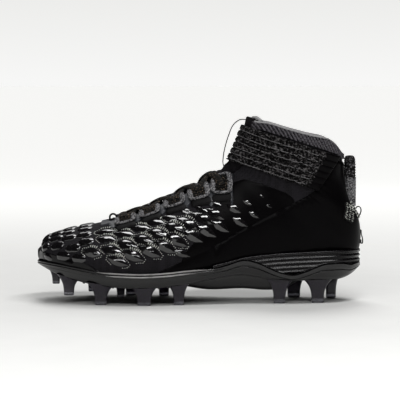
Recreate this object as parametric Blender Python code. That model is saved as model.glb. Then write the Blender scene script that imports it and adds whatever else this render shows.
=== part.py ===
"""Left american football cleat, mid cut, with an ankle strap.

The toe points along -X, the outer (lateral) side faces -Y and the studs stand on z = 0.
Every piece of the upper is cut between two sizes of one foot form, so that the pieces nest.
Tables hold shares of the named sizes, a row for each section.
"""

import bisect
import math
from collections import namedtuple

import bmesh
import bpy
from mathutils import Vector
from mathutils.bvhtree import BVHTree

MM = 0.001

# Driving sizes of the whole shoe
LENGTH = 302.0 * MM
BALL_WIDTH = 104.0 * MM
HEEL_WIDTH = 74.0 * MM
COLLAR_WIDTH = 76.0 * MM
SOLE_HEIGHT = 50.0 * MM
INSTEP_HEIGHT = 128.0 * MM
SHAFT_HEIGHT = 172.0 * MM

# Walls, layers and clearances
GAP = 0.3 * MM
UPPER_WALL = 2.0 * MM
OVERLAY = 1.2 * MM
TONGUE_THICKNESS = 4.0 * MM
STRAP_THICKNESS = 3.0 * MM
INSOLE_THICKNESS = 4.0 * MM
INSOLE_CLEAR = 0.7 * MM
MIDSOLE_CLEAR = 0.5 * MM
STUD_CLEAR = 0.5 * MM
LASTING_MARGIN = 14.0 * MM

# Sole
PLATE_FLOOR = 2.2 * MM
PLATE_WALL = 1.6 * MM
PLATE_DRAFT = 4.5 * MM
PLATE_BEVEL = 1.2 * MM
LIP_HEIGHT = 2.4 * MM
LIP_DEPTH = 0.8 * MM
KEEL_WIDTH = 24.0 * MM
KEEL_CHAMFER = 3.0 * MM
FIN_DEPTH = 1.3 * MM
FIN_SLOPE = 0.5 * MM
FLANGE_HEIGHT = 2.6 * MM
FIN_HEIGHT = 2.2 * MM
FIN_GROOVE = 1.9 * MM
FIN_COUNT = 3
FIN_STEP = 0.05 * MM

# Throat, eyestay, loops and laces
THROAT_BASE_WIDTH = 17.0 * MM
THROAT_TOP_WIDTH = 36.0 * MM
EYESTAY_WIDTH = 13.0 * MM
TONGUE_LAP = 9.0 * MM
LOOP_LENGTH = 18.0 * MM
LOOP_WIDTH = 12.0 * MM
LOOP_BAND = 3.2 * MM
LOOP_THICKNESS = 1.8 * MM
LOOP_ROWS = 5
FRAME_STEPS = 8
FRAME_ROUNDING = 0.45
LACE_DIAMETER = 3.4 * MM
LACE_SLACK = 1.2 * MM
LACE_STEPS = 4

# Ribbons and the heel pull loop
PULL_LOOP_WIDTH = 9.4 * MM
PULL_LOOP_THICKNESS = 3.6 * MM
PULL_LOOP_SPAN = 17.0 * MM
RIBBON_WIDTH = 8.0 * MM
RIBBON_THICKNESS = 0.9 * MM

# Foot sections: back_x and front_x are shares of LENGTH, bed of SOLE_HEIGHT, instep of
# INSTEP_HEIGHT, and lateral, medial and ridge of BALL_WIDTH
FootRow = namedtuple("FootRow", "back_x bed front_x instep lateral medial ridge belly low top")
FOOT_ROWS = [
    FootRow(0.008, 0.760, 0.008, 0.390, -0.045, 0.175, 0.065, 0.45, 2.2, 2.2),
    FootRow(0.028, 0.710, 0.026, 0.457, -0.168, 0.293, 0.062, 0.42, 2.8, 2.2),
    FootRow(0.063, 0.640, 0.060, 0.491, -0.269, 0.370, 0.055, 0.38, 3.6, 2.2),
    FootRow(0.119, 0.550, 0.116, 0.531, -0.365, 0.418, 0.050, 0.34, 4.4, 2.1),
    FootRow(0.192, 0.465, 0.190, 0.566, -0.442, 0.457, 0.045, 0.31, 5.0, 2.1),
    FootRow(0.272, 0.430, 0.275, 0.611, -0.488, 0.466, 0.045, 0.30, 5.0, 2.0),
    FootRow(0.351, 0.430, 0.351, 0.676, -0.498, 0.447, 0.045, 0.29, 5.0, 2.0),
    FootRow(0.437, 0.470, 0.427, 0.758, -0.466, 0.380, 0.040, 0.29, 5.0, 2.0),
    FootRow(0.530, 0.560, 0.493, 0.838, -0.413, 0.322, 0.035, 0.30, 4.8, 2.0),
    FootRow(0.636, 0.630, 0.541, 0.908, -0.352, 0.290, 0.025, 0.32, 4.6, 2.0),
]

# Ankle sections, fanned around the heel: x shares of LENGTH, heights of SHAFT_HEIGHT, and
# lateral, medial and ridge of COLLAR_WIDTH
AnkleRow = namedtuple("AnkleRow", "back_x back_z front_x front_z lateral medial ridge belly low top")
ANKLE_ROWS = [
    AnkleRow(0.742, 0.198, 0.574, 0.709, -0.454, 0.402, 0.020, 0.35, 4.4, 2.0),
    AnkleRow(0.844, 0.209, 0.592, 0.744, -0.445, 0.432, 0.010, 0.38, 3.8, 2.1),
    AnkleRow(0.937, 0.224, 0.606, 0.785, -0.432, 0.432, 0.000, 0.40, 2.9, 2.1),
    AnkleRow(0.983, 0.256, 0.616, 0.822, -0.432, 0.432, 0.000, 0.42, 2.4, 2.2),
    AnkleRow(0.997, 0.331, 0.623, 0.852, -0.432, 0.432, 0.000, 0.44, 2.2, 2.2),
    AnkleRow(0.992, 0.440, 0.630, 0.880, -0.437, 0.437, 0.000, 0.46, 2.2, 2.2),
    AnkleRow(0.970, 0.520, 0.635, 0.904, -0.445, 0.445, 0.000, 0.48, 2.2, 2.2),
    AnkleRow(0.949, 0.640, 0.644, 0.940, -0.464, 0.464, 0.000, 0.50, 2.2, 2.2),
    AnkleRow(0.944, 0.780, 0.655, 0.996, -0.490, 0.490, 0.000, 0.50, 2.2, 2.2),
    AnkleRow(0.944, 0.900, 0.668, 1.070, -0.500, 0.500, 0.000, 0.50, 2.2, 2.2),
]
SECTION_STEPS = 2
SHAFT_ROWS = 4
HEEL_BED_ROWS = 2
LOW_POINTS = 3
TOP_POINTS = 6

# Sole stations: x is a share of LENGTH, sides of BALL_WIDTH before the waist and of HEEL_WIDTH
# behind it, and the under face and rim of SOLE_HEIGHT
SoleRow = namedtuple("SoleRow", "x lateral medial width under rim")
SOLE_ROWS = [
    SoleRow(0.000, -0.020, 0.173, BALL_WIDTH, 0.660, 0.764),
    SoleRow(0.007, -0.091, 0.240, BALL_WIDTH, 0.640, 0.772),
    SoleRow(0.020, -0.163, 0.298, BALL_WIDTH, 0.612, 0.774),
    SoleRow(0.043, -0.245, 0.356, BALL_WIDTH, 0.560, 0.768),
    SoleRow(0.079, -0.327, 0.404, BALL_WIDTH, 0.496, 0.748),
    SoleRow(0.132, -0.404, 0.447, BALL_WIDTH, 0.428, 0.700),
    SoleRow(0.199, -0.466, 0.476, BALL_WIDTH, 0.360, 0.634),
    SoleRow(0.272, -0.510, 0.486, BALL_WIDTH, 0.326, 0.610),
    SoleRow(0.344, -0.524, 0.466, BALL_WIDTH, 0.324, 0.606),
    SoleRow(0.424, -0.500, 0.413, BALL_WIDTH, 0.356, 0.636),
    SoleRow(0.497, -0.455, 0.365, BALL_WIDTH, 0.420, 0.696),
    SoleRow(0.563, -0.588, 0.465, HEEL_WIDTH, 0.492, 0.768),
    SoleRow(0.634, -0.542, 0.440, HEEL_WIDTH, 0.540, 0.872),
    SoleRow(0.712, -0.512, 0.438, HEEL_WIDTH, 0.468, 0.932),
    SoleRow(0.788, -0.500, 0.458, HEEL_WIDTH, 0.430, 0.962),
    SoleRow(0.851, -0.492, 0.470, HEEL_WIDTH, 0.444, 0.980),
    SoleRow(0.901, -0.466, 0.455, HEEL_WIDTH, 0.448, 0.990),
    SoleRow(0.940, -0.405, 0.402, HEEL_WIDTH, 0.454, 0.994),
    SoleRow(0.968, -0.312, 0.312, HEEL_WIDTH, 0.484, 0.992),
    SoleRow(0.989, -0.185, 0.188, HEEL_WIDTH, 0.540, 0.986),
    SoleRow(1.000, -0.060, 0.062, HEEL_WIDTH, 0.590, 0.980),
]
STATION_STEPS = 2

# Top edge of the plate's side wall: x is a share of LENGTH, edge a share of the rim there
WaveRow = namedtuple("WaveRow", "x edge")
EDGE_WAVE = [
    WaveRow(0.000, 0.995),
    WaveRow(0.440, 0.995),
    WaveRow(0.497, 0.960),
    WaveRow(0.535, 0.925),
    WaveRow(0.590, 0.935),
    WaveRow(0.634, 0.955),
    WaveRow(0.678, 0.860),
    WaveRow(0.724, 0.700),
    WaveRow(0.755, 0.617),
    WaveRow(0.788, 0.573),
    WaveRow(0.820, 0.620),
    WaveRow(0.851, 0.690),
    WaveRow(0.882, 0.755),
    WaveRow(0.911, 0.765),
    WaveRow(0.940, 0.765),
    WaveRow(0.954, 0.748),
    WaveRow(0.968, 0.728),
    WaveRow(0.982, 0.745),
    WaveRow(1.000, 0.760),
]
MIDSOLE_START = 0.52

# Keel under the arch: x is a share of LENGTH, low a share of SOLE_HEIGHT
KeelRow = namedtuple("KeelRow", "x low")
KEEL_ROWS = [
    KeelRow(0.400, 0.330),
    KeelRow(0.440, 0.300),
    KeelRow(0.530, 0.220),
    KeelRow(0.634, 0.240),
    KeelRow(0.715, 0.210),
    KeelRow(0.770, 0.260),
    KeelRow(0.810, 0.410),
]

# Studs: x of LENGTH, y of BALL_WIDTH, foot and tip sizes in millimetres, tip height of SOLE_HEIGHT
StudRow = namedtuple("StudRow", "name x y foot_length foot_width tip_length tip_width tip_height")
STUD_ROWS = [
    StudRow("stud_toe", 0.055, 0.070, 12.0, 9.0, 7.0, 4.0, 0.290),
    StudRow("stud_lateral_1", 0.103, -0.235, 15.0, 12.0, 9.5, 5.0, 0.150),
    StudRow("stud_lateral_2", 0.203, -0.350, 18.0, 14.0, 11.0, 5.5, 0.0),
    StudRow("stud_lateral_3", 0.335, -0.395, 19.0, 15.0, 12.5, 6.0, 0.0),
    StudRow("stud_lateral_4", 0.440, -0.360, 15.0, 13.0, 9.5, 5.5, 0.0),
    StudRow("stud_medial_1", 0.165, 0.320, 15.0, 12.0, 9.0, 5.0, 0.080),
    StudRow("stud_medial_2", 0.285, 0.355, 17.0, 13.0, 10.0, 5.5, 0.0),
    StudRow("stud_medial_3", 0.390, 0.310, 15.0, 13.0, 9.5, 5.5, 0.0),
    StudRow("stud_centre", 0.258, 0.000, 12.0, 10.0, 7.0, 4.5, 0.040),
    StudRow("stud_heel_lateral_front", 0.748, -0.230, 20.0, 14.0, 11.0, 5.5, 0.0),
    StudRow("stud_heel_lateral_rear", 0.866, -0.185, 22.0, 13.0, 11.5, 6.0, 0.0),
    StudRow("stud_heel_medial_front", 0.800, 0.205, 20.0, 13.0, 12.0, 6.0, 0.0),
    StudRow("stud_heel_medial_rear", 0.915, 0.140, 13.0, 11.0, 9.5, 5.5, 0.0),
]
STUD_WAIST = 0.45
STUD_WAIST_DROP = 0.40
STUD_TIP_BEVEL = 0.8 * MM
STUD_CORNER = 0.3

# Side outlines, x of LENGTH and z of SHAFT_HEIGHT
SideRow = namedtuple("SideRow", "x z")
COLLAR_LINE = [
    SideRow(0.600, 1.010),
    SideRow(0.676, 0.972),
    SideRow(0.712, 0.966),
    SideRow(0.774, 0.934),
    SideRow(0.842, 0.902),
    SideRow(0.891, 0.884),
    SideRow(0.919, 0.848),
    SideRow(0.945, 0.797),
    SideRow(1.000, 0.780),
]
TONGUE_LINE = [
    SideRow(0.600, 0.997),
    SideRow(0.666, 0.997),
    SideRow(0.692, 0.960),
    SideRow(0.760, 0.940),
]
STRAP_SIDE = [
    SideRow(0.480, 0.785),
    SideRow(0.585, 0.764),
    SideRow(0.648, 0.738),
    SideRow(0.862, 0.608),
    SideRow(0.926, 0.790),
    SideRow(0.780, 0.878),
    SideRow(0.660, 0.944),
    SideRow(0.600, 0.975),
    SideRow(0.480, 1.020),
]
QUARTER_SEAM = [
    SideRow(0.350, 0.160),
    SideRow(0.396, 0.198),
    SideRow(0.480, 0.264),
    SideRow(0.566, 0.337),
    SideRow(0.628, 0.402),
    SideRow(0.709, 0.473),
    SideRow(0.794, 0.549),
    SideRow(0.854, 0.614),
    SideRow(0.914, 0.775),
    SideRow(0.938, 0.760),
    SideRow(1.100, 0.735),
]
CUFF_LINE = [
    SideRow(0.690, 0.935),
    SideRow(0.780, 0.886),
    SideRow(0.922, 0.800),
    SideRow(0.940, 0.772),
    SideRow(1.100, 0.747),
]
BUMPER_LINE = [
    SideRow(-0.050, 0.285),
    SideRow(0.020, 0.275),
    SideRow(0.090, 0.252),
    SideRow(0.160, 0.226),
    SideRow(0.215, 0.170),
]

# Plan stations of the throat, x of LENGTH and half width from base to top width
ThroatRow = namedtuple("ThroatRow", "x spread")
THROAT_ROWS = [
    ThroatRow(0.222, -0.450),
    ThroatRow(0.232, 0.000),
    ThroatRow(0.300, 0.060),
    ThroatRow(0.430, 0.250),
    ThroatRow(0.560, 0.560),
    ThroatRow(0.640, 1.000),
    ThroatRow(0.715, 1.000),
]
THROAT_FLOOR = 0.330
EYESTAY_START = 0.205
EYESTAY_END = 0.598
TONGUE_START = 0.215
EYESTAY_NOSE = 0.6

# Lace rows, x of LENGTH at the middle of each loop
LACE_ROWS = [0.277, 0.352, 0.427, 0.502, 0.572]

# Ribbon routes in side view, x of LENGTH and z of SHAFT_HEIGHT, both ends on the shoe
UPPER_RIBBON = [
    SideRow(0.984, 0.488),
    SideRow(0.990, 0.508),
    SideRow(0.997, 0.512),
    SideRow(1.003, 0.500),
    SideRow(1.003, 0.482),
    SideRow(0.999, 0.464),
    SideRow(0.994, 0.448),
]
LOWER_RIBBON = [
    SideRow(1.000, 0.384),
    SideRow(1.005, 0.360),
    SideRow(1.009, 0.334),
    SideRow(1.008, 0.312),
    SideRow(1.003, 0.312),
    SideRow(1.001, 0.330),
]
TONGUE_RIBBON = [
    SideRow(0.592, 0.716),
    SideRow(0.577, 0.736),
    SideRow(0.577, 0.790),
    SideRow(0.584, 0.850),
    SideRow(0.594, 0.905),
    SideRow(0.607, 0.955),
    SideRow(0.628, 0.984),
    SideRow(0.650, 0.984),
]

PULL_LOOP_TOP = 0.785
PULL_LOOP_LOW = 0.545
PULL_LOOP_ARC_STEPS = 8

COLLECTION = "football_cleat"
CUTTERS = "cutters"


def clear_scene():
    """Remove every object and the collections that this model uses."""
    for item in list(bpy.data.objects):
        bpy.data.objects.remove(item, do_unlink=True)
    for name in (COLLECTION, CUTTERS):
        old = bpy.data.collections.get(name)
        if old:
            bpy.data.collections.remove(old)
        bpy.context.scene.collection.children.link(bpy.data.collections.new(name))


def finish(name, colour, roughness, metallic=0.0, alpha=1.0):
    """Return a Principled material with the given colour."""
    made = bpy.data.materials.new(name)
    made.use_nodes = True
    shader = made.node_tree.nodes["Principled BSDF"]
    shader.inputs["Base Color"].default_value = (*colour, 1.0)
    shader.inputs["Roughness"].default_value = roughness
    shader.inputs["Metallic"].default_value = metallic
    shader.inputs["Alpha"].default_value = alpha
    made.diffuse_color = (*colour, alpha)
    return made


def add_mesh(name, vertices, faces, collection=COLLECTION):
    """Return a new mesh object with its faces pointing out."""
    mesh = bpy.data.meshes.new(name)
    mesh.from_pydata([tuple(v) for v in vertices], [], faces)
    work = bmesh.new()
    work.from_mesh(mesh)
    bmesh.ops.recalc_face_normals(work, faces=work.faces)
    work.to_mesh(mesh)
    work.free()
    made = bpy.data.objects.new(name, mesh)
    bpy.data.collections[collection].objects.link(made)
    return made


def as_cutter(piece):
    """Mark an object as a cutter, so that it is never part of the model."""
    piece.hide_render = True
    piece.display_type = "WIRE"
    return piece


def join_or_cut(piece, other, operation):
    """Add one Boolean modifier to a piece."""
    step = piece.modifiers.new(operation.lower() + "_" + other.name, "BOOLEAN")
    step.operation = operation
    step.object = other


def dress(piece, material):
    """Give a piece its material and smooth shading with sharp edges kept."""
    piece.data.materials.clear()
    piece.data.materials.append(material)
    piece.data.shade_smooth()
    piece.data.set_sharp_from_angle(angle=math.radians(40.0))


def ring_solid(name, rings, collection=COLLECTION, paired=False):
    """Bridge closed rings of equal count and close both ends.

    The sides are split into triangles the same way in every solid, so that two solids of one
    form, a clearance apart, nest without touching. A paired ring runs down one side and back
    up the other, and its ends are closed by a ladder of faces across it.
    """
    count = len(rings[0])
    vertices = [point for ring in rings for point in ring]
    faces = []
    for level in range(len(rings) - 1):
        low = level * count
        high = low + count
        for i in range(count):
            j = (i + 1) % count
            if i < count / 2:
                faces += [(low + i, low + j, high + j), (low + i, high + j, high + i)]
            else:
                faces += [(low + i, low + j, high + i), (low + j, high + j, high + i)]
    for start in (0, (len(rings) - 1) * count):
        if paired:
            for i in range(count // 2 - 1):
                near, far = start + i, start + count - 1 - i
                faces += [(near, near + 1, far - 1), (near, far - 1, far)]
        else:
            faces.append(tuple(start + i for i in range(count)))
    return add_mesh(name, vertices, faces, collection)


def smooth_rows(rows, steps):
    """Return the rows with steps - 1 smooth rows between each two, as plain lists."""
    places = [0.0]
    for before, after in zip(rows, rows[1:]):
        places.append(places[-1] + max(math.dist(before[:2], after[:2]), 1e-6))
    slopes = []
    for i in range(len(rows)):
        low = max(i - 1, 0)
        high = min(i + 1, len(rows) - 1)
        run = places[high] - places[low]
        slopes.append([(b - a) / run for a, b in zip(rows[low], rows[high])])
    made = []
    for i in range(len(rows) - 1):
        run = places[i + 1] - places[i]
        for step in range(steps):
            t = step / steps
            made.append([
                (2 * t**3 - 3 * t**2 + 1) * a + (t**3 - 2 * t**2 + t) * run * p
                + (3 * t**2 - 2 * t**3) * b + (t**3 - t**2) * run * q
                for a, b, p, q in zip(rows[i], rows[i + 1], slopes[i], slopes[i + 1])
            ])
    made.append(list(rows[-1]))
    return made


def between(table, x):
    """Return the second column at x, straight between the rows of a table."""
    places = [row[0] for row in table]
    i = min(max(bisect.bisect_right(places, x), 1), len(places) - 1)
    low, high = table[i - 1], table[i]
    share = min(max((x - low[0]) / (high[0] - low[0]), 0.0), 1.0)
    return low[1] + (high[1] - low[1]) * share


def form_sections():
    """Return the foot form's sections in metres, from the toe to above the collar.

    Rows are added between the tables' rows, but not in the straight shaft.
    """
    rows = []
    for row in FOOT_ROWS:
        rows.append([
            row.back_x * LENGTH, row.bed * SOLE_HEIGHT, row.front_x * LENGTH,
            row.instep * INSTEP_HEIGHT, row.lateral * BALL_WIDTH, row.medial * BALL_WIDTH,
            row.ridge * BALL_WIDTH, row.belly, row.low, row.top,
        ])
    for row in ANKLE_ROWS:
        rows.append([
            row.back_x * LENGTH, row.back_z * SHAFT_HEIGHT, row.front_x * LENGTH,
            row.front_z * SHAFT_HEIGHT, row.lateral * COLLAR_WIDTH, row.medial * COLLAR_WIDTH,
            row.ridge * COLLAR_WIDTH, row.belly, row.low, row.top,
        ])
    return smooth_rows(rows[:-SHAFT_ROWS], SECTION_STEPS) + rows[-SHAFT_ROWS:]


def form_ring(section):
    """Return one closed ring of the form: sole side first, then round by the lateral side."""
    back_x, back_z, front_x, front_z, lateral, medial, ridge, belly, low, top = section
    centre = (lateral + medial) / 2
    ring = []
    total = LOW_POINTS + TOP_POINTS
    angles = [-90.0 + 90.0 * i / LOW_POINTS for i in range(LOW_POINTS)]
    angles += [90.0 * i / TOP_POINTS for i in range(TOP_POINTS + 1)]
    for side, edge in ((0, lateral), (1, medial)):
        half = []
        for angle in angles:
            power = low if angle < 0 else top
            reach = abs(math.cos(math.radians(angle))) ** (2.0 / power)
            climb = abs(math.sin(math.radians(angle))) ** (2.0 / power)
            share = belly * (1.0 - climb) if angle < 0 else belly + (1.0 - belly) * climb
            middle = centre + (ridge - centre) * share
            if abs(angle) == 90.0:
                reach = 0.0
            half.append(Vector((
                back_x + (front_x - back_x) * share,
                middle + (edge - middle) * reach,
                back_z + (front_z - back_z) * share,
            )))
        ring += half if side == 0 else half[total - 1:0:-1]
    return ring


def form(name, grow, cutter=True):
    """Return the foot form as a closed solid, moved out along its normals by grow."""
    rings = [form_ring(section) for section in form_sections()]
    made = ring_solid(name, rings, CUTTERS if cutter else COLLECTION)
    if grow:
        normals = [vertex.normal.copy() for vertex in made.data.vertices]
        for vertex, normal in zip(made.data.vertices, normals):
            vertex.co += normal * grow
    return as_cutter(made) if cutter else made


def sole_stations():
    """Return the sole's stations in metres: x, lateral, medial, under, edge, rim."""
    rows = []
    for row in SOLE_ROWS:
        rows.append([
            row.x * LENGTH, row.lateral * row.width, row.medial * row.width,
            row.under * SOLE_HEIGHT, row.rim * SOLE_HEIGHT,
        ])
    made = []
    for x, lateral, medial, under, rim in smooth_rows(rows, STATION_STEPS):
        edge = rim * between(EDGE_WAVE, x / LENGTH)
        made.append((x, lateral, medial, under, edge, rim))
    return made


def sole_outline(inset, stations):
    """Return lateral and medial plan points, moved in from the sole's outline by inset."""
    sides = []
    for column, turn in ((1, 1.0), (2, -1.0)):
        line = [Vector((row[0], row[column])) for row in stations]
        moved = []
        for i, point in enumerate(line):
            along = line[min(i + 1, len(line) - 1)] - line[max(i - 1, 0)]
            inward = Vector((-along.y, along.x)).normalized() * turn
            moved.append(point + inward * inset)
        sides.append(moved)
    return sides


def sole_ring(inset, heights, first=0, every=1):
    """Return a closed ring of the sole at an inset, with a height for each station.

    The ring starts at station first and keeps every so many stations, and always the last.
    """
    lateral, medial = sole_outline(inset, sole_stations())
    last = len(heights) - 1
    kept = [i for i in range(first, last + 1) if (last - i) % every == 0 or i == first]
    down = [Vector((lateral[i].x, lateral[i].y, heights[i])) for i in kept]
    back = [Vector((medial[i].x, medial[i].y, heights[i])) for i in kept]
    return down + back[::-1]


def bed_table():
    """Return x and z of the form's under side, from toe to heel."""
    last = len(FOOT_ROWS) + HEEL_BED_ROWS
    rows = form_sections()[:last * SECTION_STEPS + 1]
    return [(row[0], row[1]) for row in rows]


def side_prism(name, outline):
    """Return a cutter with a side outline in metres, as wide as the shoe and more."""
    reach = BALL_WIDTH
    low = [Vector((x, -reach, z)) for x, z in outline]
    high = [Vector((x, reach, z)) for x, z in outline]
    return as_cutter(ring_solid(name, [low, high], CUTTERS))


def side_points(rows):
    """Return side rows as metres."""
    return [(row.x * LENGTH, row.z * SHAFT_HEIGHT) for row in rows]


def plan_prism(name, rows, grow, low, high):
    """Return a cutter from plan rows of x and half width, closed round the middle line."""
    down = [(x, -(half + grow)) for x, half in rows]
    back = [(x, half + grow) for x, half in reversed(rows)]
    rings = [[Vector((x, y, z)) for x, y in down + back] for z in (low, high)]
    return as_cutter(ring_solid(name, rings, CUTTERS, paired=True))


def throat_rows():
    """Return the throat's plan rows in metres."""
    base = THROAT_BASE_WIDTH / 2
    top = THROAT_TOP_WIDTH / 2
    return [(row.x * LENGTH, base + (top - base) * row.spread) for row in THROAT_ROWS]


def throat_half(x):
    """Return the throat's half width at x."""
    return between(throat_rows(), x)


def above_line(name, rows):
    """Return a cutter that removes everything above a side line."""
    line = side_points(rows)
    ceiling = 2.0 * SHAFT_HEIGHT
    far = 1.4 * LENGTH
    return side_prism(name, [(line[0][0], ceiling)] + line + [(far, line[-1][1]), (far, ceiling)])


def sole_space(name, clear):
    """Return a cutter of all that lies below the rim of the sole."""
    stations = sole_stations()
    low = [-SOLE_HEIGHT for _ in stations]
    high = [row[5] + clear for row in stations]
    rings = [sole_ring(-PLATE_DRAFT, heights, every=2) for heights in (low, high)]
    return as_cutter(ring_solid(name, rings, CUTTERS, paired=True))


def bed_slab(name, inset, rise):
    """Return a cutter from below the shoe up to a height over the form's under side."""
    stations = sole_stations()
    table = bed_table()
    low = [-SOLE_HEIGHT for _ in stations]
    high = [between(table, row[0]) + rise for row in stations]
    rings = [sole_ring(inset, heights, every=4) for heights in (low, high)]
    return as_cutter(ring_solid(name, rings, CUTTERS, paired=True))


def make_plate(clear_form, material):
    """Build the outsole plate: a tray with a waved side wall, a lip and a keel."""
    stations = sole_stations()
    under = [row[3] for row in stations]
    edge = [row[4] for row in stations]
    rings = [
        sole_ring(PLATE_DRAFT + PLATE_BEVEL, under),
        sole_ring(PLATE_DRAFT, [z + PLATE_BEVEL for z in under]),
        sole_ring(LIP_DEPTH, [z - LIP_HEIGHT - LIP_DEPTH for z in edge]),
        sole_ring(0.0, [z - LIP_HEIGHT for z in edge]),
        sole_ring(0.0, edge),
    ]
    plate = ring_solid("outsole_plate", rings, paired=True)
    first = midsole_first(stations)
    top = 2.0 * SOLE_HEIGHT
    space = ring_solid("midsole_space", [
        sole_ring(PLATE_DRAFT + PLATE_WALL, [z + PLATE_FLOOR for z in under], first),
        sole_ring(PLATE_WALL, edge, first),
        sole_ring(PLATE_WALL, [top for _ in edge], first),
    ], CUTTERS, paired=True)
    join_or_cut(plate, as_cutter(space), "DIFFERENCE")
    join_or_cut(plate, clear_form, "DIFFERENCE")
    join_or_cut(plate, make_keel(), "UNION")
    dress(plate, material)
    return plate


def make_keel():
    """Return the keel under the arch, which is joined to the plate."""
    half = KEEL_WIDTH / 2
    rings = []
    for station in sole_stations():
        x, under = station[0], station[3]
        if not KEEL_ROWS[0].x < x / LENGTH < KEEL_ROWS[-1].x:
            continue
        low = between(KEEL_ROWS, x / LENGTH) * SOLE_HEIGHT
        high = under + PLATE_FLOOR / 2
        chamfer = min(KEEL_CHAMFER, (high - low) / 2)
        rings.append([
            Vector((x, -half, high)),
            Vector((x, -half, low + chamfer)),
            Vector((x, -half + chamfer, low)),
            Vector((x, half - chamfer, low)),
            Vector((x, half, low + chamfer)),
            Vector((x, half, high)),
        ])
    return as_cutter(ring_solid("keel", rings, CUTTERS))


def midsole_first(stations):
    """Return the first station that the midsole reaches."""
    return next(i for i, row in enumerate(stations) if row[0] >= MIDSOLE_START * LENGTH)


def make_midsole(clear_form, material):
    """Build the midsole: foam inside the plate, and side fins and a flange above its wall."""
    stations = sole_stations()
    under = [row[3] for row in stations]
    edge = [row[4] for row in stations]
    rim = [row[5] for row in stations]
    first = midsole_first(stations) + 1
    levels = []
    for i in range(FIN_COUNT, 0, -1):
        drop = FLANGE_HEIGHT + i * (FIN_GROOVE + FIN_HEIGHT)
        levels.append((drop + FIN_SLOPE, FIN_DEPTH))
        levels.append((drop, 0.0))
        levels.append((drop - FIN_HEIGHT, 0.0))
        levels.append((drop - FIN_HEIGHT - FIN_SLOPE, FIN_DEPTH))
    levels.append((FLANGE_HEIGHT, FIN_DEPTH))
    levels.append((FLANGE_HEIGHT - FIN_SLOPE, 0.0))
    wall = PLATE_WALL + MIDSOLE_CLEAR
    seat = [z + MIDSOLE_CLEAR for z in edge]
    rings = [
        sole_ring(PLATE_DRAFT + wall, [z + PLATE_FLOOR + MIDSOLE_CLEAR for z in under], first),
        sole_ring(wall, seat, first),
        sole_ring(0.0, seat, first),
    ]
    for order, (drop, inset) in enumerate(levels):
        floors = [z + (order + 1) * FIN_STEP for z in seat]
        room = [top - drop - floor for top, floor in zip(rim, floors)]
        heights = [floor + max(space, 0.0) for floor, space in zip(floors, room)]
        open_share = [min(max(space / FIN_DEPTH, 0.0), 1.0) for space in room]
        rings.append(blend_rings(sole_ring(0.0, heights, first), sole_ring(inset, heights, first),
                                 open_share[first:]))
    rings.append(sole_ring(0.0, rim, first))
    midsole = ring_solid("midsole", rings, paired=True)
    join_or_cut(midsole, clear_form, "DIFFERENCE")
    dress(midsole, material)
    return midsole


def blend_rings(outer, inner, shares):
    """Return a ring between two, with a share for each station down and back."""
    weights = shares + shares[::-1]
    return [a.lerp(b, share) for a, b, share in zip(outer, inner, weights)]


def make_studs(plate_tree, material):
    """Build each stud from its foot under the plate to its flat tip."""
    made = []
    for row in STUD_ROWS:
        centre = Vector((row.x * LENGTH, row.y * BALL_WIDTH))
        tip_z = row.tip_height * SOLE_HEIGHT
        corners = stud_corners(row.foot_length * MM, row.foot_width * MM)
        seats = [under_side(plate_tree, centre + corner) for corner in corners]
        bulge = sum(seat.z for seat in seats) / len(seats) - under_side(plate_tree, centre).z
        drop = Vector((0.0, 0.0, STUD_CLEAR + max(bulge, 0.0)))
        foot = [seat - drop for seat in seats]
        tip = stud_corners(row.tip_length * MM, row.tip_width * MM)
        rings = [foot]
        waist = [a.lerp(b, 1.0 - STUD_WAIST) for a, b in zip(corners, tip)]
        rings.append([
            Vector((*(centre + c), z.z + (tip_z - z.z) * STUD_WAIST_DROP))
            for c, z in zip(waist, foot)
        ])
        rings.append([Vector((*(centre + c), tip_z + STUD_TIP_BEVEL)) for c in tip])
        shrink = 1.0 - 2.0 * STUD_TIP_BEVEL / (row.tip_width * MM)
        rings.append([Vector((*(centre + c * shrink), tip_z)) for c in tip])
        stud = ring_solid(row.name, rings)
        dress(stud, material)
        made.append(stud)
    return made


def under_side(tree, spot):
    """Return the point of the plate straight above a plan point."""
    return tree.ray_cast(Vector((spot.x, spot.y, -SOLE_HEIGHT)), Vector((0, 0, 1)))[0]


def stud_corners(length, width):
    """Return the eight plan corners of a chamfered block."""
    a = length / 2
    b = width / 2
    cut = STUD_CORNER * width
    return [
        Vector((-a + cut, -b)), Vector((a - cut, -b)), Vector((a, -b + cut)), Vector((a, b - cut)),
        Vector((a - cut, b)), Vector((-a + cut, b)), Vector((-a, b - cut)), Vector((-a, -b + cut)),
    ]


def make_upper(inner, throat, collar, material):
    """Build the upper: one hollow shell with a lasting margin around an open under side."""
    upper = form("upper", 0.0, cutter=False)
    join_or_cut(upper, throat, "DIFFERENCE")
    join_or_cut(upper, inner, "DIFFERENCE")
    join_or_cut(upper, bed_slab("feather_space", LASTING_MARGIN, 2.0 * UPPER_WALL + GAP), "DIFFERENCE")
    join_or_cut(upper, collar, "DIFFERENCE")
    dress(upper, material)
    return upper


def overlay(name, inner, grow, keep, cuts, material):
    """Build a layer between the inner form and one grown by grow, inside keep, less the cuts."""
    piece = form(name, grow, cutter=False)
    for cutter in cuts:
        join_or_cut(piece, cutter, "DIFFERENCE")
    join_or_cut(piece, keep, "INTERSECT")
    join_or_cut(piece, inner, "DIFFERENCE")
    dress(piece, material)
    return piece


def tree_of(piece):
    """Return a search tree of an object's evaluated mesh."""
    graph = bpy.context.evaluated_depsgraph_get()
    return BVHTree.FromObject(piece, graph)


def on_top(tree, x, y):
    """Return the point and normal where a vertical line from above meets the tree."""
    hit = tree.ray_cast(Vector((x, y, 3.0 * SHAFT_HEIGHT)), Vector((0, 0, -1)))
    return hit[0], hit[1]


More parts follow.
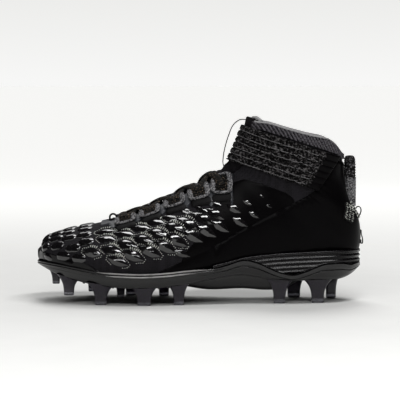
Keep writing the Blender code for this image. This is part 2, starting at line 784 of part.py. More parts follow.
def make_lace_loops(seat_tree, material):
    """Build the webbing loops along both edges of the throat."""
    made = []
    for side, sign in (("lateral", -1.0), ("medial", 1.0)):
        for number, share in enumerate(LACE_ROWS, start=1):
            centre, normal, along = loop_place(seat_tree, share, sign)
            across = normal.cross(along).normalized()
            loop = webbing_frame(f"lace_loop_{side}_{number}", centre, normal, along, across)
            dress(loop, material)
            made.append(loop)
    return made


def loop_place(seat_tree, share, sign):
    """Return a loop's centre on its seat, the seat's normal and the direction along the throat."""
    x = share * LENGTH
    y = sign * (throat_half(x) + EYESTAY_WIDTH / 2)
    point, _ = on_top(seat_tree, x, y)
    reach = LOOP_LENGTH / 2
    side = LOOP_WIDTH / 2
    ahead = on_top(seat_tree, x + reach, sign * (throat_half(x + reach) + EYESTAY_WIDTH / 2))[0]
    behind = on_top(seat_tree, x - reach, sign * (throat_half(x - reach) + EYESTAY_WIDTH / 2))[0]
    inside = on_top(seat_tree, x, y - sign * side)[0]
    outside = on_top(seat_tree, x, y + sign * side)[0]
    along = (ahead - behind).normalized()
    normal = along.cross(outside - inside).normalized()
    if normal.z < 0:
        normal.negate()
    along = (along - normal * along.dot(normal)).normalized()
    lift = 0.0
    for spot in (ahead, behind, inside, outside, point):
        lift = max(lift, (spot - point).dot(normal))
    return point + normal * (lift + 2.0 * GAP), normal, along


def webbing_frame(name, centre, normal, along, across):
    """Return a flat rounded frame of webbing, which the lace runs through."""
    steps = FRAME_STEPS
    outer = [frame_spot(i, steps, LOOP_LENGTH / 2, LOOP_WIDTH / 2) for i in range(steps)]
    length = LOOP_LENGTH / 2 - LOOP_BAND
    width = LOOP_WIDTH / 2 - LOOP_BAND
    inner = [frame_spot(i, steps, length, width) for i in range(steps)]
    vertices = []
    for out, bay in zip(outer, inner):
        for spot, height in ((out, 0.0), (out, LOOP_THICKNESS), (bay, LOOP_THICKNESS), (bay, 0.0)):
            vertices.append(centre + along * spot[0] + across * spot[1] + normal * height)
    faces = []
    for i in range(steps):
        j = (i + 1) % steps
        for k in range(4):
            m = (k + 1) % 4
            faces.append((4 * i + k, 4 * j + k, 4 * j + m, 4 * i + m))
    return add_mesh(name, vertices, faces)


def frame_spot(i, steps, half_length, half_width):
    """Return one point of a rounded rectangle."""
    angle = 2.0 * math.pi * (i + 0.5) / steps
    power = FRAME_ROUNDING
    x = math.copysign(abs(math.cos(angle)) ** power, math.cos(angle)) * half_length
    y = math.copysign(abs(math.sin(angle)) ** power, math.sin(angle)) * half_width
    return x, y


def lace_strand(name, lace_tree, turns):
    """Return one strand of lace as a mesh, over its turns from side to side."""
    points = []
    for start, end in zip(turns, turns[1:]):
        for i in range(LACE_STEPS):
            spot = start.lerp(end, i / LACE_STEPS)
            point, _ = on_top(lace_tree, spot.x, spot.y)
            points.append(point)
    points.append(on_top(lace_tree, turns[-1].x, turns[-1].y)[0])
    curve = bpy.data.curves.new(name, "CURVE")
    curve.dimensions = "3D"
    curve.bevel_depth = LACE_DIAMETER / 2
    curve.bevel_resolution = 1
    curve.use_fill_caps = True
    curve.render_resolution_u = 0
    spline = curve.splines.new("POLY")
    spline.points.add(len(points) - 1)
    for place, point in zip(spline.points, points):
        place.co = (*point, 1.0)
    wire = bpy.data.objects.new(name + "_curve", curve)
    bpy.data.collections[CUTTERS].objects.link(wire)
    graph = bpy.context.evaluated_depsgraph_get()
    mesh = bpy.data.meshes.new_from_object(wire.evaluated_get(graph))
    work = bmesh.new()
    work.from_mesh(mesh)
    bmesh.ops.remove_doubles(work, verts=work.verts, dist=0.01 * MM)
    bmesh.ops.recalc_face_normals(work, faces=work.faces)
    work.to_mesh(mesh)
    work.free()
    made = bpy.data.objects.new(name, mesh)
    made.matrix_world = wire.matrix_world
    bpy.data.objects.remove(wire, do_unlink=True)
    return made


def make_laces(lace_tree, material):
    """Build the lace: two strands that cross between the rows, joined, and a first bar."""
    turns = {}
    for side, sign in (("lateral", -1.0), ("medial", 1.0)):
        turns[side] = []
        for share in LACE_ROWS:
            x = share * LENGTH
            turns[side].append(Vector((x, sign * (throat_half(x) + EYESTAY_WIDTH / 2))))
    sides = (turns["lateral"], turns["medial"])
    first = [sides[i % 2][i] for i in range(LOOP_ROWS)]
    second = [sides[(i + 1) % 2][i] for i in range(LOOP_ROWS)]
    laces = lace_strand("laces", lace_tree, first)
    bpy.data.collections[COLLECTION].objects.link(laces)
    for name, route in (("lace_second", second), ("lace_bar", [turns["lateral"][0], turns["medial"][0]])):
        other = lace_strand(name, lace_tree, route)
        bpy.data.collections[CUTTERS].objects.link(other)
        join_or_cut(laces, as_cutter(other), "UNION")
    dress(laces, material)
    return laces


def ribbon(name, route, width, thickness, material):
    """Build a flat ribbon whose edge follows a side route, from its points in metres."""
    left, right = [], []
    for i, (x, z) in enumerate(route):
        before = Vector(route[max(i - 1, 0)])
        after = Vector(route[min(i + 1, len(route) - 1)])
        along = (after - before).normalized()
        across = Vector((-along.y, along.x)) * thickness / 2
        left.append((x + across.x, z + across.y))
        right.append((x - across.x, z - across.y))
    outline = left + right[::-1]
    rings = [[Vector((x, y, z)) for x, z in outline] for y in (-width / 2, width / 2)]
    made = ring_solid(name, rings, paired=True)
    dress(made, material)
    return made


def seated_route(rows, tree, direction):
    """Return a ribbon's route with both ends on the shoe and every other point clear of it."""
    route = [list(point) for point in side_points(smooth_side(rows))]
    ends = (0, len(route) - 1)
    for i, (x, z) in enumerate(route):
        start = Vector((x - direction * LENGTH, 0.0, z))
        hit = tree.ray_cast(start, Vector((direction, 0.0, 0.0)))[0]
        if hit is None:
            continue
        seat = hit.x - direction * (GAP + RIBBON_THICKNESS)
        if i in ends or (x - seat) * direction > 0:
            route[i][0] = seat
    return route


def smooth_side(rows):
    """Return side rows with one smooth row between each two."""
    return [SideRow(*row) for row in smooth_rows(rows, 2)]


def make_pull_loop(seat_tree, material):
    """Build the heel pull loop: two legs seated on the heel, joined by an arch above."""
    half = PULL_LOOP_SPAN / 2
    low = PULL_LOOP_LOW * SHAFT_HEIGHT
    arch = PULL_LOOP_TOP * SHAFT_HEIGHT - half - PULL_LOOP_THICKNESS / 2
    route = [(-half, low), (-half, (low + arch) / 2)]
    for i in range(PULL_LOOP_ARC_STEPS + 1):
        angle = math.pi - math.pi * i / PULL_LOOP_ARC_STEPS
        route.append((half * math.cos(angle), arch + half * math.sin(angle)))
    route += [(half, (low + arch) / 2), (half, low)]
    seat = max(seat_x(seat_tree, sign * (half + PULL_LOOP_THICKNESS / 2), low) for sign in (-1, 1))
    inner = max(seat, seat_x(seat_tree, half - PULL_LOOP_THICKNESS / 2, low)) + GAP
    outline_left, outline_right = [], []
    for i, (y, z) in enumerate(route):
        before = Vector(route[max(i - 1, 0)])
        after = Vector(route[min(i + 1, len(route) - 1)])
        along = (after - before).normalized()
        across = Vector((-along.y, along.x)) * PULL_LOOP_THICKNESS / 2
        outline_left.append((y + across.x, z + across.y))
        outline_right.append((y - across.x, z - across.y))
    outline = outline_left + outline_right[::-1]
    rings = [[Vector((x, y, z)) for y, z in outline] for x in (inner, inner + PULL_LOOP_WIDTH)]
    made = ring_solid("heel_pull_loop", rings, paired=True)
    dress(made, material)
    return made


def seat_x(tree, y, z):
    """Return where a level line from behind the heel meets the tree."""
    return tree.ray_cast(Vector((2.0 * LENGTH, y, z)), Vector((-1, 0, 0)))[0].x


def stand_on_origin(pieces):
    """Parent everything to an empty, moved so that the model stands centred on the origin."""
    graph = bpy.context.evaluated_depsgraph_get()
    low = Vector((math.inf,) * 3)
    high = Vector((-math.inf,) * 3)
    for piece in pieces:
        mesh = piece.evaluated_get(graph).to_mesh()
        for vertex in mesh.vertices:
            for axis in range(3):
                low[axis] = min(low[axis], vertex.co[axis])
                high[axis] = max(high[axis], vertex.co[axis])
    frame = bpy.data.objects.new("shoe_frame", None)
    bpy.data.collections[COLLECTION].objects.link(frame)
    frame.location = (-(low.x + high.x) / 2, -(low.y + high.y) / 2, -low.z)
    for item in list(bpy.data.collections[COLLECTION].objects) + list(bpy.data.collections[CUTTERS].objects):
        if item is not frame:
            item.parent = frame


def build():
    """Build the whole shoe."""
    clear_scene()
    black_shell = finish("upper_shell", (0.012, 0.011, 0.012), 0.30)
    satin = finish("quarter_film", (0.008, 0.007, 0.008), 0.38)
    grey_film = finish("eyestay_film", (0.030, 0.032, 0.036), 0.40)
    plate_black = finish("moulded_plate", (0.020, 0.018, 0.020), 0.22)
    foam = finish("midsole_foam", (0.016, 0.015, 0.017), 0.50)
    smoke = finish("smoked_stud", (0.10, 0.11, 0.13), 0.12, alpha=0.85)
    knit = finish("knit", (0.018, 0.017, 0.020), 0.90)
    pile = finish("strap_pile", (0.022, 0.022, 0.024), 0.95)
    webbing = finish("webbing", (0.09, 0.085, 0.085), 0.85)
    cord = finish("lace", (0.015, 0.014, 0.014), 0.85)
    lining = finish("sockliner", (0.020, 0.020, 0.022), 0.90)
    ribbon_black = finish("ribbon", (0.015, 0.014, 0.015), 0.60)

    layer = GAP + OVERLAY
    inner = form("inner_form", -UPPER_WALL)
    close_form = form("close_form", GAP)
    throat = plan_prism("throat_space", throat_rows(), 0.0, THROAT_FLOOR * SHAFT_HEIGHT, 2.0 * SHAFT_HEIGHT)
    collar = above_line("above_collar", COLLAR_LINE)
    sole_below = sole_space("below_rim", 2.0 * GAP)

    plate = make_plate(close_form, plate_black)
    midsole = make_midsole(close_form, foam)
    studs = make_studs(tree_of(plate), smoke)
    upper = make_upper(inner, throat, collar, black_shell)

    lining_outer = -(UPPER_WALL + GAP)
    insole = form("insole", -(UPPER_WALL + INSOLE_CLEAR), cutter=False)
    rise = UPPER_WALL + INSOLE_CLEAR + INSOLE_THICKNESS
    join_or_cut(insole, bed_slab("insole_slab", -PLATE_DRAFT, rise), "INTERSECT")
    dress(insole, lining)

    tongue_inner = form("tongue_inner", lining_outer - TONGUE_THICKNESS)
    tongue_rows = [(x, half) for x, half in throat_rows() if TONGUE_START * LENGTH <= x]
    tongue_rows = [(TONGUE_START * LENGTH, throat_half(TONGUE_START * LENGTH))] + tongue_rows
    tongue_space = plan_prism("tongue_space", tongue_rows, TONGUE_LAP,
                              THROAT_FLOOR * SHAFT_HEIGHT, 2.0 * SHAFT_HEIGHT)
    tongue_top = above_line("above_tongue", TONGUE_LINE)
    tongue = overlay("tongue", tongue_inner, lining_outer, tongue_space, [tongue_top], knit)

    bumper = side_points(BUMPER_LINE)
    bumper_space = side_prism("bumper_space", bumper + [(bumper[-1][0], 0.0), (bumper[0][0], 0.0)])
    toe_bumper = overlay("toe_bumper", close_form, layer, bumper_space, [sole_below], satin)

    eyestay_rows = [(EYESTAY_START * LENGTH, throat_half(THROAT_ROWS[1].x * LENGTH) * EYESTAY_NOSE)]
    eyestay_rows += [row for row in throat_rows()[1:] if row[0] < EYESTAY_END * LENGTH]
    eyestay_rows += [(EYESTAY_END * LENGTH, throat_half(EYESTAY_END * LENGTH))]
    eyestay_space = plan_prism("eyestay_space", eyestay_rows, EYESTAY_WIDTH,
                               THROAT_FLOOR * SHAFT_HEIGHT, 2.0 * SHAFT_HEIGHT)
    eyestay = overlay("eyestay", close_form, layer, eyestay_space, [throat], grey_film)

    eyestay_clear = plan_prism("eyestay_clear", eyestay_rows, EYESTAY_WIDTH + 2.0 * GAP,
                               THROAT_FLOOR * SHAFT_HEIGHT - GAP, 2.0 * SHAFT_HEIGHT)
    seam = side_points(QUARTER_SEAM)
    quarter_space = side_prism("quarter_space", seam + [(seam[-1][0], 0.0), (seam[0][0], 0.0)])
    quarter = overlay("heel_quarter", close_form, layer, quarter_space,
                      [collar, sole_below, throat, eyestay_clear], satin)

    strap_space = side_prism("strap_space", side_points(STRAP_SIDE))
    strap_seat = form("strap_seat", layer + GAP)
    strap = overlay("ankle_strap", strap_seat, layer + GAP + STRAP_THICKNESS, strap_space, [], pile)

    cuff_low = side_points(CUFF_LINE)
    ceiling = 1.2 * SHAFT_HEIGHT
    cuff_space = side_prism("cuff_space", cuff_low + [(cuff_low[-1][0], ceiling), (cuff_low[0][0], ceiling)])
    cuff = overlay("collar_cuff", close_form, layer, cuff_space, [collar, throat], knit)

    seat = tree_of(form("loop_seat", layer))
    loops = make_lace_loops(seat, webbing)
    lace_lift = layer + 3.0 * GAP + LOOP_THICKNESS + LACE_DIAMETER / 2 + LACE_SLACK
    laces = make_laces(tree_of(form("lace_form", lace_lift)), cord)

    pull_loop = make_pull_loop(seat, webbing)
    upper_ribbon = ribbon("heel_ribbon_upper", seated_route(UPPER_RIBBON, seat, -1.0),
                          RIBBON_WIDTH, RIBBON_THICKNESS, ribbon_black)
    lower_ribbon = ribbon("heel_ribbon_lower", seated_route(LOWER_RIBBON, seat, -1.0),
                          RIBBON_WIDTH, RIBBON_THICKNESS, ribbon_black)
    tongue_loop = ribbon("tongue_ribbon", seated_route(TONGUE_RIBBON, tree_of(tongue), 1.0),
                         RIBBON_WIDTH, RIBBON_THICKNESS, ribbon_black)

    pieces = [plate, midsole, *studs, upper, insole, tongue, quarter, toe_bumper, eyestay, strap, cuff]
    pieces += [*loops, laces, pull_loop, upper_ribbon, lower_ribbon, tongue_loop]
    stand_on_origin(pieces)


build()
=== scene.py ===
"""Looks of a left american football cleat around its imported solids.

All shapes are worked out in the shoe's own frame: x in metres from the toe tip to the heel, y towards
the inner side, z up from the studs' tips. Shoe.publish moves each finished mesh onto the frame.
"""

from __future__ import annotations

import bisect
import logging
import math
from dataclasses import dataclass, field
from enum import Enum
from typing import Callable, Sequence

import bmesh
import bpy
import numpy as np
from mathutils import Matrix, Vector, noise
from mathutils.bvhtree import BVHTree

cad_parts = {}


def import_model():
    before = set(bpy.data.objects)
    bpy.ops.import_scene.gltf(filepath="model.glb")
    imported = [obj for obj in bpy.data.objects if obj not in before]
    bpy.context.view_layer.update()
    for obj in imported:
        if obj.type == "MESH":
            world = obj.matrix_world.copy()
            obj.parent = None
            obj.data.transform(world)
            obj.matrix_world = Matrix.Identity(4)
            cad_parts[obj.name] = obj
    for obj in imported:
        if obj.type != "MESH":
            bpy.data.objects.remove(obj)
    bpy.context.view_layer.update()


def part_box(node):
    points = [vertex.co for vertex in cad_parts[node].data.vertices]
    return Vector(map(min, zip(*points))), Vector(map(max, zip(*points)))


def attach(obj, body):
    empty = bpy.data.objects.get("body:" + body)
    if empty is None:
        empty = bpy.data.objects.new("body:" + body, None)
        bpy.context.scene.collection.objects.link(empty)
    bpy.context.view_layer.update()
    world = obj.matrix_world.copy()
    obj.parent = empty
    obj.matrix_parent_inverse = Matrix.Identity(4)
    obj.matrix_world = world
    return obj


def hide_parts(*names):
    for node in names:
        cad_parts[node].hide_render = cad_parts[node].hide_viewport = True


LOG = logging.getLogger("cleat")
MM = 0.001
BODY = "root"

Field = Callable[[Vector], float]
Row = Sequence[float]

LENGTH = 302.0 * MM
BALL_WIDTH = 104.0 * MM
HEEL_WIDTH = 74.0 * MM
COLLAR_WIDTH = 76.0 * MM
SOLE_HEIGHT = 50.0 * MM
INSTEP_HEIGHT = 128.0 * MM
SHAFT_HEIGHT = 172.0 * MM
THROAT_BASE = 8.5 * MM
THROAT_TOP = 18.0 * MM
THROAT_FLOOR = 0.330 * SHAFT_HEIGHT
# How far a layer is let into the one below it, so that no gap shows
SINK = 0.1 * MM
SIDES = (-1.0, 1.0)

# Foot sections: back x, bed, front x, instep, lateral, medial, ridge, belly, low power, top power
FOOT_ROWS = [
    (0.008, 0.760, 0.008, 0.390, -0.045, 0.175, 0.065, 0.45, 2.2, 2.2),
    (0.028, 0.710, 0.026, 0.457, -0.168, 0.293, 0.062, 0.42, 2.8, 2.2),
    (0.063, 0.640, 0.060, 0.491, -0.269, 0.370, 0.055, 0.38, 3.6, 2.2),
    (0.119, 0.550, 0.116, 0.531, -0.365, 0.418, 0.050, 0.34, 4.4, 2.1),
    (0.192, 0.465, 0.190, 0.566, -0.442, 0.457, 0.045, 0.31, 5.0, 2.1),
    (0.272, 0.430, 0.275, 0.611, -0.488, 0.466, 0.045, 0.30, 5.0, 2.0),
    (0.351, 0.430, 0.351, 0.676, -0.498, 0.447, 0.045, 0.29, 5.0, 2.0),
    (0.437, 0.470, 0.427, 0.758, -0.466, 0.380, 0.040, 0.29, 5.0, 2.0),
    (0.530, 0.560, 0.493, 0.838, -0.413, 0.322, 0.035, 0.30, 4.8, 2.0),
    (0.636, 0.630, 0.541, 0.908, -0.352, 0.290, 0.025, 0.32, 4.6, 2.0),
]
FOOT_UNITS = (LENGTH, SOLE_HEIGHT, LENGTH, INSTEP_HEIGHT, BALL_WIDTH, BALL_WIDTH, BALL_WIDTH, 1, 1, 1)

# Ankle sections, in the same columns, with heights of the shaft and widths of the collar
ANKLE_ROWS = [
    (0.742, 0.198, 0.574, 0.709, -0.454, 0.402, 0.020, 0.35, 4.4, 2.0),
    (0.844, 0.209, 0.592, 0.744, -0.445, 0.432, 0.010, 0.38, 3.8, 2.1),
    (0.937, 0.224, 0.606, 0.785, -0.432, 0.432, 0.000, 0.40, 2.9, 2.1),
    (0.983, 0.256, 0.616, 0.822, -0.432, 0.432, 0.000, 0.42, 2.4, 2.2),
    (0.997, 0.331, 0.623, 0.852, -0.432, 0.432, 0.000, 0.44, 2.2, 2.2),
    (0.992, 0.440, 0.630, 0.880, -0.437, 0.437, 0.000, 0.46, 2.2, 2.2),
    (0.970, 0.520, 0.635, 0.904, -0.445, 0.445, 0.000, 0.48, 2.2, 2.2),
    (0.949, 0.640, 0.644, 0.940, -0.464, 0.464, 0.000, 0.50, 2.2, 2.2),
    (0.944, 0.780, 0.655, 0.996, -0.490, 0.490, 0.000, 0.50, 2.2, 2.2),
    (0.944, 0.900, 0.668, 1.070, -0.500, 0.500, 0.000, 0.50, 2.2, 2.2),
]
ANKLE_UNITS = (LENGTH, SHAFT_HEIGHT, LENGTH, SHAFT_HEIGHT, COLLAR_WIDTH, COLLAR_WIDTH, COLLAR_WIDTH, 1, 1, 1)

# Sole stations: x, lateral, medial, width that these are shares of, under face and rim
SOLE_ROWS = [
    (0.000, -0.020, 0.173, BALL_WIDTH, 0.660, 0.764),
    (0.007, -0.091, 0.240, BALL_WIDTH, 0.640, 0.772),
    (0.020, -0.163, 0.298, BALL_WIDTH, 0.612, 0.774),
    (0.043, -0.245, 0.356, BALL_WIDTH, 0.560, 0.768),
    (0.079, -0.327, 0.404, BALL_WIDTH, 0.496, 0.748),
    (0.132, -0.404, 0.447, BALL_WIDTH, 0.428, 0.700),
    (0.199, -0.466, 0.476, BALL_WIDTH, 0.360, 0.634),
    (0.272, -0.510, 0.486, BALL_WIDTH, 0.326, 0.610),
    (0.344, -0.524, 0.466, BALL_WIDTH, 0.324, 0.606),
    (0.424, -0.500, 0.413, BALL_WIDTH, 0.356, 0.636),
    (0.497, -0.455, 0.365, BALL_WIDTH, 0.420, 0.696),
    (0.563, -0.588, 0.465, HEEL_WIDTH, 0.492, 0.768),
    (0.634, -0.542, 0.440, HEEL_WIDTH, 0.540, 0.872),
    (0.712, -0.512, 0.438, HEEL_WIDTH, 0.468, 0.932),
    (0.788, -0.500, 0.458, HEEL_WIDTH, 0.430, 0.962),
    (0.851, -0.492, 0.470, HEEL_WIDTH, 0.444, 0.980),
    (0.901, -0.466, 0.455, HEEL_WIDTH, 0.448, 0.990),
    (0.940, -0.405, 0.402, HEEL_WIDTH, 0.454, 0.994),
    (0.968, -0.312, 0.312, HEEL_WIDTH, 0.484, 0.992),
    (0.989, -0.185, 0.188, HEEL_WIDTH, 0.540, 0.986),
    (1.000, -0.060, 0.062, HEEL_WIDTH, 0.590, 0.980),
]

# Top edge of the plate's wall, a share of the rim at x
EDGE_WAVE = [
    (0.000, 0.995), (0.440, 0.995), (0.497, 0.960), (0.535, 0.925), (0.590, 0.935), (0.634, 0.955),
    (0.678, 0.860), (0.724, 0.700), (0.755, 0.617), (0.788, 0.573), (0.820, 0.620), (0.851, 0.690),
    (0.882, 0.755), (0.911, 0.765), (0.940, 0.765), (0.954, 0.748), (0.968, 0.728), (0.982, 0.745),
    (1.000, 0.760),
]

# Side lines of the upper, shares of the length and of the shaft's height
COLLAR_LINE = [
    (0.600, 1.010), (0.676, 0.972), (0.712, 0.966), (0.774, 0.934), (0.842, 0.902), (0.891, 0.884),
    (0.919, 0.848), (0.945, 0.797), (1.000, 0.780),
]
TONGUE_LINE = [(0.600, 0.997), (0.666, 0.997), (0.692, 0.960), (0.760, 0.940)]
QUARTER_SEAM = [
    (0.350, 0.160), (0.396, 0.198), (0.480, 0.264), (0.566, 0.337), (0.628, 0.402), (0.709, 0.473),
    (0.794, 0.549), (0.854, 0.614), (0.914, 0.775), (0.938, 0.760), (1.100, 0.735),
]
CUFF_LINE = [(0.690, 0.935), (0.780, 0.886), (0.922, 0.800), (0.940, 0.772), (1.100, 0.747)]
BUMPER_LINE = [(-0.050, 0.285), (0.020, 0.275), (0.090, 0.252), (0.160, 0.226), (0.215, 0.170)]
STRAP_SIDE = [
    (0.480, 0.785), (0.585, 0.764), (0.648, 0.738), (0.862, 0.608), (0.926, 0.790), (0.780, 0.878),
    (0.660, 0.944), (0.600, 0.975), (0.480, 1.020),
]
WING_SIDE = [
    (0.400, 0.165), (0.480, 0.232), (0.566, 0.305), (0.628, 0.370), (0.709, 0.441), (0.775, 0.503),
    (0.792, 0.534), (0.790, 0.566), (0.765, 0.598), (0.700, 0.640), (0.640, 0.668), (0.590, 0.640),
    (0.560, 0.540), (0.520, 0.430), (0.480, 0.325), (0.430, 0.220),
]

# Plan rows of the throat: x and the share from base to top half width
THROAT_ROWS = [
    (0.222, -0.450), (0.232, 0.000), (0.300, 0.060), (0.430, 0.250), (0.560, 0.560), (0.640, 1.000),
    (0.715, 1.000),
]
LACE_ROWS = [0.277, 0.352, 0.427, 0.502, 0.572]

UPPER_RIBBON = [
    (0.984, 0.488), (0.990, 0.508), (0.997, 0.512), (1.003, 0.500), (1.003, 0.482), (0.999, 0.464),
    (0.994, 0.448),
]
LOWER_RIBBON = [
    (1.000, 0.384), (1.005, 0.360), (1.009, 0.334), (1.008, 0.312), (1.003, 0.312), (1.001, 0.330),
]
TONGUE_RIBBON = [
    (0.592, 0.716), (0.577, 0.736), (0.577, 0.790), (0.584, 0.850), (0.594, 0.905), (0.607, 0.955),
    (0.628, 0.984), (0.650, 0.984),
]

# Studs: name, x, y, foot and tip sizes in millimetres, tip height
STUD_ROWS = [
    ("stud_toe", 0.055, 0.070, 12.0, 9.0, 7.0, 4.0, 0.290),
    ("stud_lateral_1", 0.103, -0.235, 15.0, 12.0, 9.5, 5.0, 0.150),
    ("stud_lateral_2", 0.203, -0.350, 18.0, 14.0, 11.0, 5.5, 0.0),
    ("stud_lateral_3", 0.335, -0.395, 19.0, 15.0, 12.5, 6.0, 0.0),
    ("stud_lateral_4", 0.440, -0.360, 15.0, 13.0, 9.5, 5.5, 0.0),
    ("stud_medial_1", 0.165, 0.320, 15.0, 12.0, 9.0, 5.0, 0.080),
    ("stud_medial_2", 0.285, 0.355, 17.0, 13.0, 10.0, 5.5, 0.0),
    ("stud_medial_3", 0.390, 0.310, 15.0, 13.0, 9.5, 5.5, 0.0),
    ("stud_centre", 0.258, 0.000, 12.0, 10.0, 7.0, 4.5, 0.040),
    ("stud_heel_lateral_front", 0.748, -0.230, 20.0, 14.0, 11.0, 5.5, 0.0),
    ("stud_heel_lateral_rear", 0.866, -0.185, 22.0, 13.0, 11.5, 6.0, 0.0),
    ("stud_heel_medial_front", 0.800, 0.205, 20.0, 13.0, 12.0, 6.0, 0.0),
    ("stud_heel_medial_rear", 0.915, 0.140, 13.0, 11.0, 9.5, 5.5, 0.0),
]


class ScaleKind(Enum):
    """The two raised shapes of the shell: domed hexagons on the toe and ridged lozenges."""

    DOME = "dome"
    LOZENGE = "lozenge"


DOME, LOZENGE = ScaleKind

# Raised scales of one side: kind, x and z of the middle, length and height, all in millimetres,
# and tilt in degrees, down towards the heel
SCALE_ROWS = [
    (DOME, 12.2, 42.0, 13.0, 8.6, 4.0), (DOME, 8.8, 51.2, 12.0, 7.8, 2.0),
    (DOME, 26.8, 44.6, 14.5, 9.0, 5.0), (DOME, 20.8, 53.8, 14.5, 9.2, 4.0),
    (DOME, 41.8, 43.4, 14.0, 8.6, 6.0), (DOME, 35.8, 52.4, 15.0, 9.2, 6.0),
    (DOME, 31.4, 61.0, 15.0, 8.8, 4.0), (LOZENGE, 53.6, 48.8, 17.5, 8.8, 9.0),
    (DOME, 47.8, 58.2, 15.5, 8.8, 7.0), (LOZENGE, 77.6, 41.4, 20.0, 8.4, 12.0),
    (LOZENGE, 71.8, 51.0, 20.0, 9.0, 12.0), (LOZENGE, 66.8, 60.4, 18.5, 9.0, 10.0),
    (LOZENGE, 91.0, 46.4, 22.0, 9.0, 15.0), (LOZENGE, 85.0, 56.4, 21.5, 9.0, 14.0),
    (LOZENGE, 82.2, 65.2, 20.0, 8.4, 12.0), (LOZENGE, 106.4, 50.4, 23.0, 9.2, 17.0),
    (LOZENGE, 100.4, 60.4, 22.5, 9.2, 16.0), (LOZENGE, 97.0, 70.4, 21.0, 8.6, 14.0),
    (LOZENGE, 119.8, 54.4, 23.5, 9.2, 18.0), (LOZENGE, 114.4, 65.4, 23.0, 9.2, 17.0),
    (LOZENGE, 110.6, 75.6, 20.5, 8.4, 15.0), (LOZENGE, 135.6, 47.8, 17.0, 6.4, 14.0),
    (LOZENGE, 130.0, 60.2, 24.0, 9.4, 19.0), (LOZENGE, 129.2, 70.6, 23.0, 9.0, 18.0),
    (LOZENGE, 123.8, 79.6, 19.0, 7.6, 16.0), (LOZENGE, 145.6, 63.4, 24.5, 9.4, 20.0),
    (LOZENGE, 140.0, 75.0, 24.0, 9.2, 19.0), (LOZENGE, 137.4, 86.0, 17.0, 6.8, 17.0),
    (LOZENGE, 158.2, 67.8, 24.0, 9.2, 20.0), (LOZENGE, 154.8, 79.0, 24.0, 9.0, 20.0),
    (LOZENGE, 153.4, 87.4, 16.0, 5.6, 18.0), (LOZENGE, 171.0, 72.0, 22.0, 8.4, 21.0),
    (LOZENGE, 166.2, 83.0, 22.0, 8.6, 20.0), (LOZENGE, 165.4, 92.6, 18.0, 6.4, 16.0),
    (LOZENGE, 189.2, 76.2, 18.5, 7.0, 22.0), (LOZENGE, 183.4, 88.2, 18.5, 7.4, 21.0),
    (LOZENGE, 178.2, 99.0, 15.5, 5.6, 20.0), (LOZENGE, 202.2, 82.6, 14.0, 5.2, 22.0),
    (LOZENGE, 196.0, 93.6, 12.5, 4.6, 21.0), (LOZENGE, 216.0, 90.6, 9.0, 3.2, 22.0),
    (LOZENGE, 209.6, 99.6, 8.5, 3.0, 20.0),
]


def linear(hex_colour: str) -> tuple[float, float, float, float]:
    """Turn an sRGB hex colour to linear RGBA.

    Args:
        hex_colour: six hex digits with a leading hash.

    Returns:
        Linear red, green and blue with an alpha of one.
    """
    shares = [int(hex_colour[i:i + 2], 16) / 255 for i in (1, 3, 5)]
    return (*[s / 12.92 if s <= 0.04045 else ((s + 0.055) / 1.055) ** 2.4 for s in shares], 1.0)


def smooth_rows(rows: Sequence[Row], steps: int) -> list[list[float]]:
    """Return the rows with smooth rows between each two.

    Args:
        rows: table rows whose first two columns give the spacing.
        steps: number of parts that each span is cut into.

    Returns:
        The finer table.
    """
    places = [0.0]
    for before, after in zip(rows, rows[1:]):
        places.append(places[-1] + max(math.dist(before[:2], after[:2]), 1e-6))
    slopes = []
    for i in range(len(rows)):
        low, high = max(i - 1, 0), min(i + 1, len(rows) - 1)
        run = places[high] - places[low]
        slopes.append([(b - a) / run for a, b in zip(rows[low], rows[high])])
    made = []
    for i in range(len(rows) - 1):
        run = places[i + 1] - places[i]
        for step in range(steps):
            t = step / steps
            made.append([
                (2 * t**3 - 3 * t**2 + 1) * a + (t**3 - 2 * t**2 + t) * run * p
                + (3 * t**2 - 2 * t**3) * b + (t**3 - t**2) * run * q
                for a, b, p, q in zip(rows[i], rows[i + 1], slopes[i], slopes[i + 1])
            ])
    made.append(list(rows[-1]))
    return made


def between(table: Sequence[Row], x: float) -> float:
    """Return the second column of a table at x, straight between its rows."""
    places = [row[0] for row in table]
    i = min(max(bisect.bisect_right(places, x), 1), len(places) - 1)
    low, high = table[i - 1], table[i]
    share = min(max((x - low[0]) / (high[0] - low[0]), 0.0), 1.0)
    return low[1] + (high[1] - low[1]) * share


def side_outline(rows: Sequence[Row]) -> list[tuple[float, float]]:
    """Return a straight-edged side outline in metres from its shares."""
    return [(x * LENGTH, z * SHAFT_HEIGHT) for x, z in rows]


def side_line(rows: Sequence[Row], steps: int = 4) -> list[tuple[float, float]]:
    """Return a smooth side line in metres from its shares."""
    return side_outline(smooth_rows(rows, steps))


def tangent(path: Sequence[Vector], i: int) -> Vector:
    """Return the span of a path across one of its points, along its run."""
    return path[min(i + 1, len(path) - 1)] - path[max(i - 1, 0)]


def on_edge(s: float, t: float) -> bool:
    """Tell whether a place from -1 to 1 both ways lies on a patch's edge."""
    return max(abs(s), abs(t)) > 0.999


def squircle(angle: float, power: float) -> tuple[float, float]:
    """Return the point at an angle of a rounded square of half width one."""
    across, up = math.cos(angle), math.sin(angle)
    return math.copysign(abs(across) ** power, across), math.copysign(abs(up) ** power, up)


def below(line: Sequence[Row]) -> Field:
    """Return a field that is positive below a side line."""
    return lambda p: between(line, p.x) - p.z


def above(line: Sequence[Row]) -> Field:
    """Return a field that is positive above a side line."""
    return lambda p: p.z - between(line, p.x)


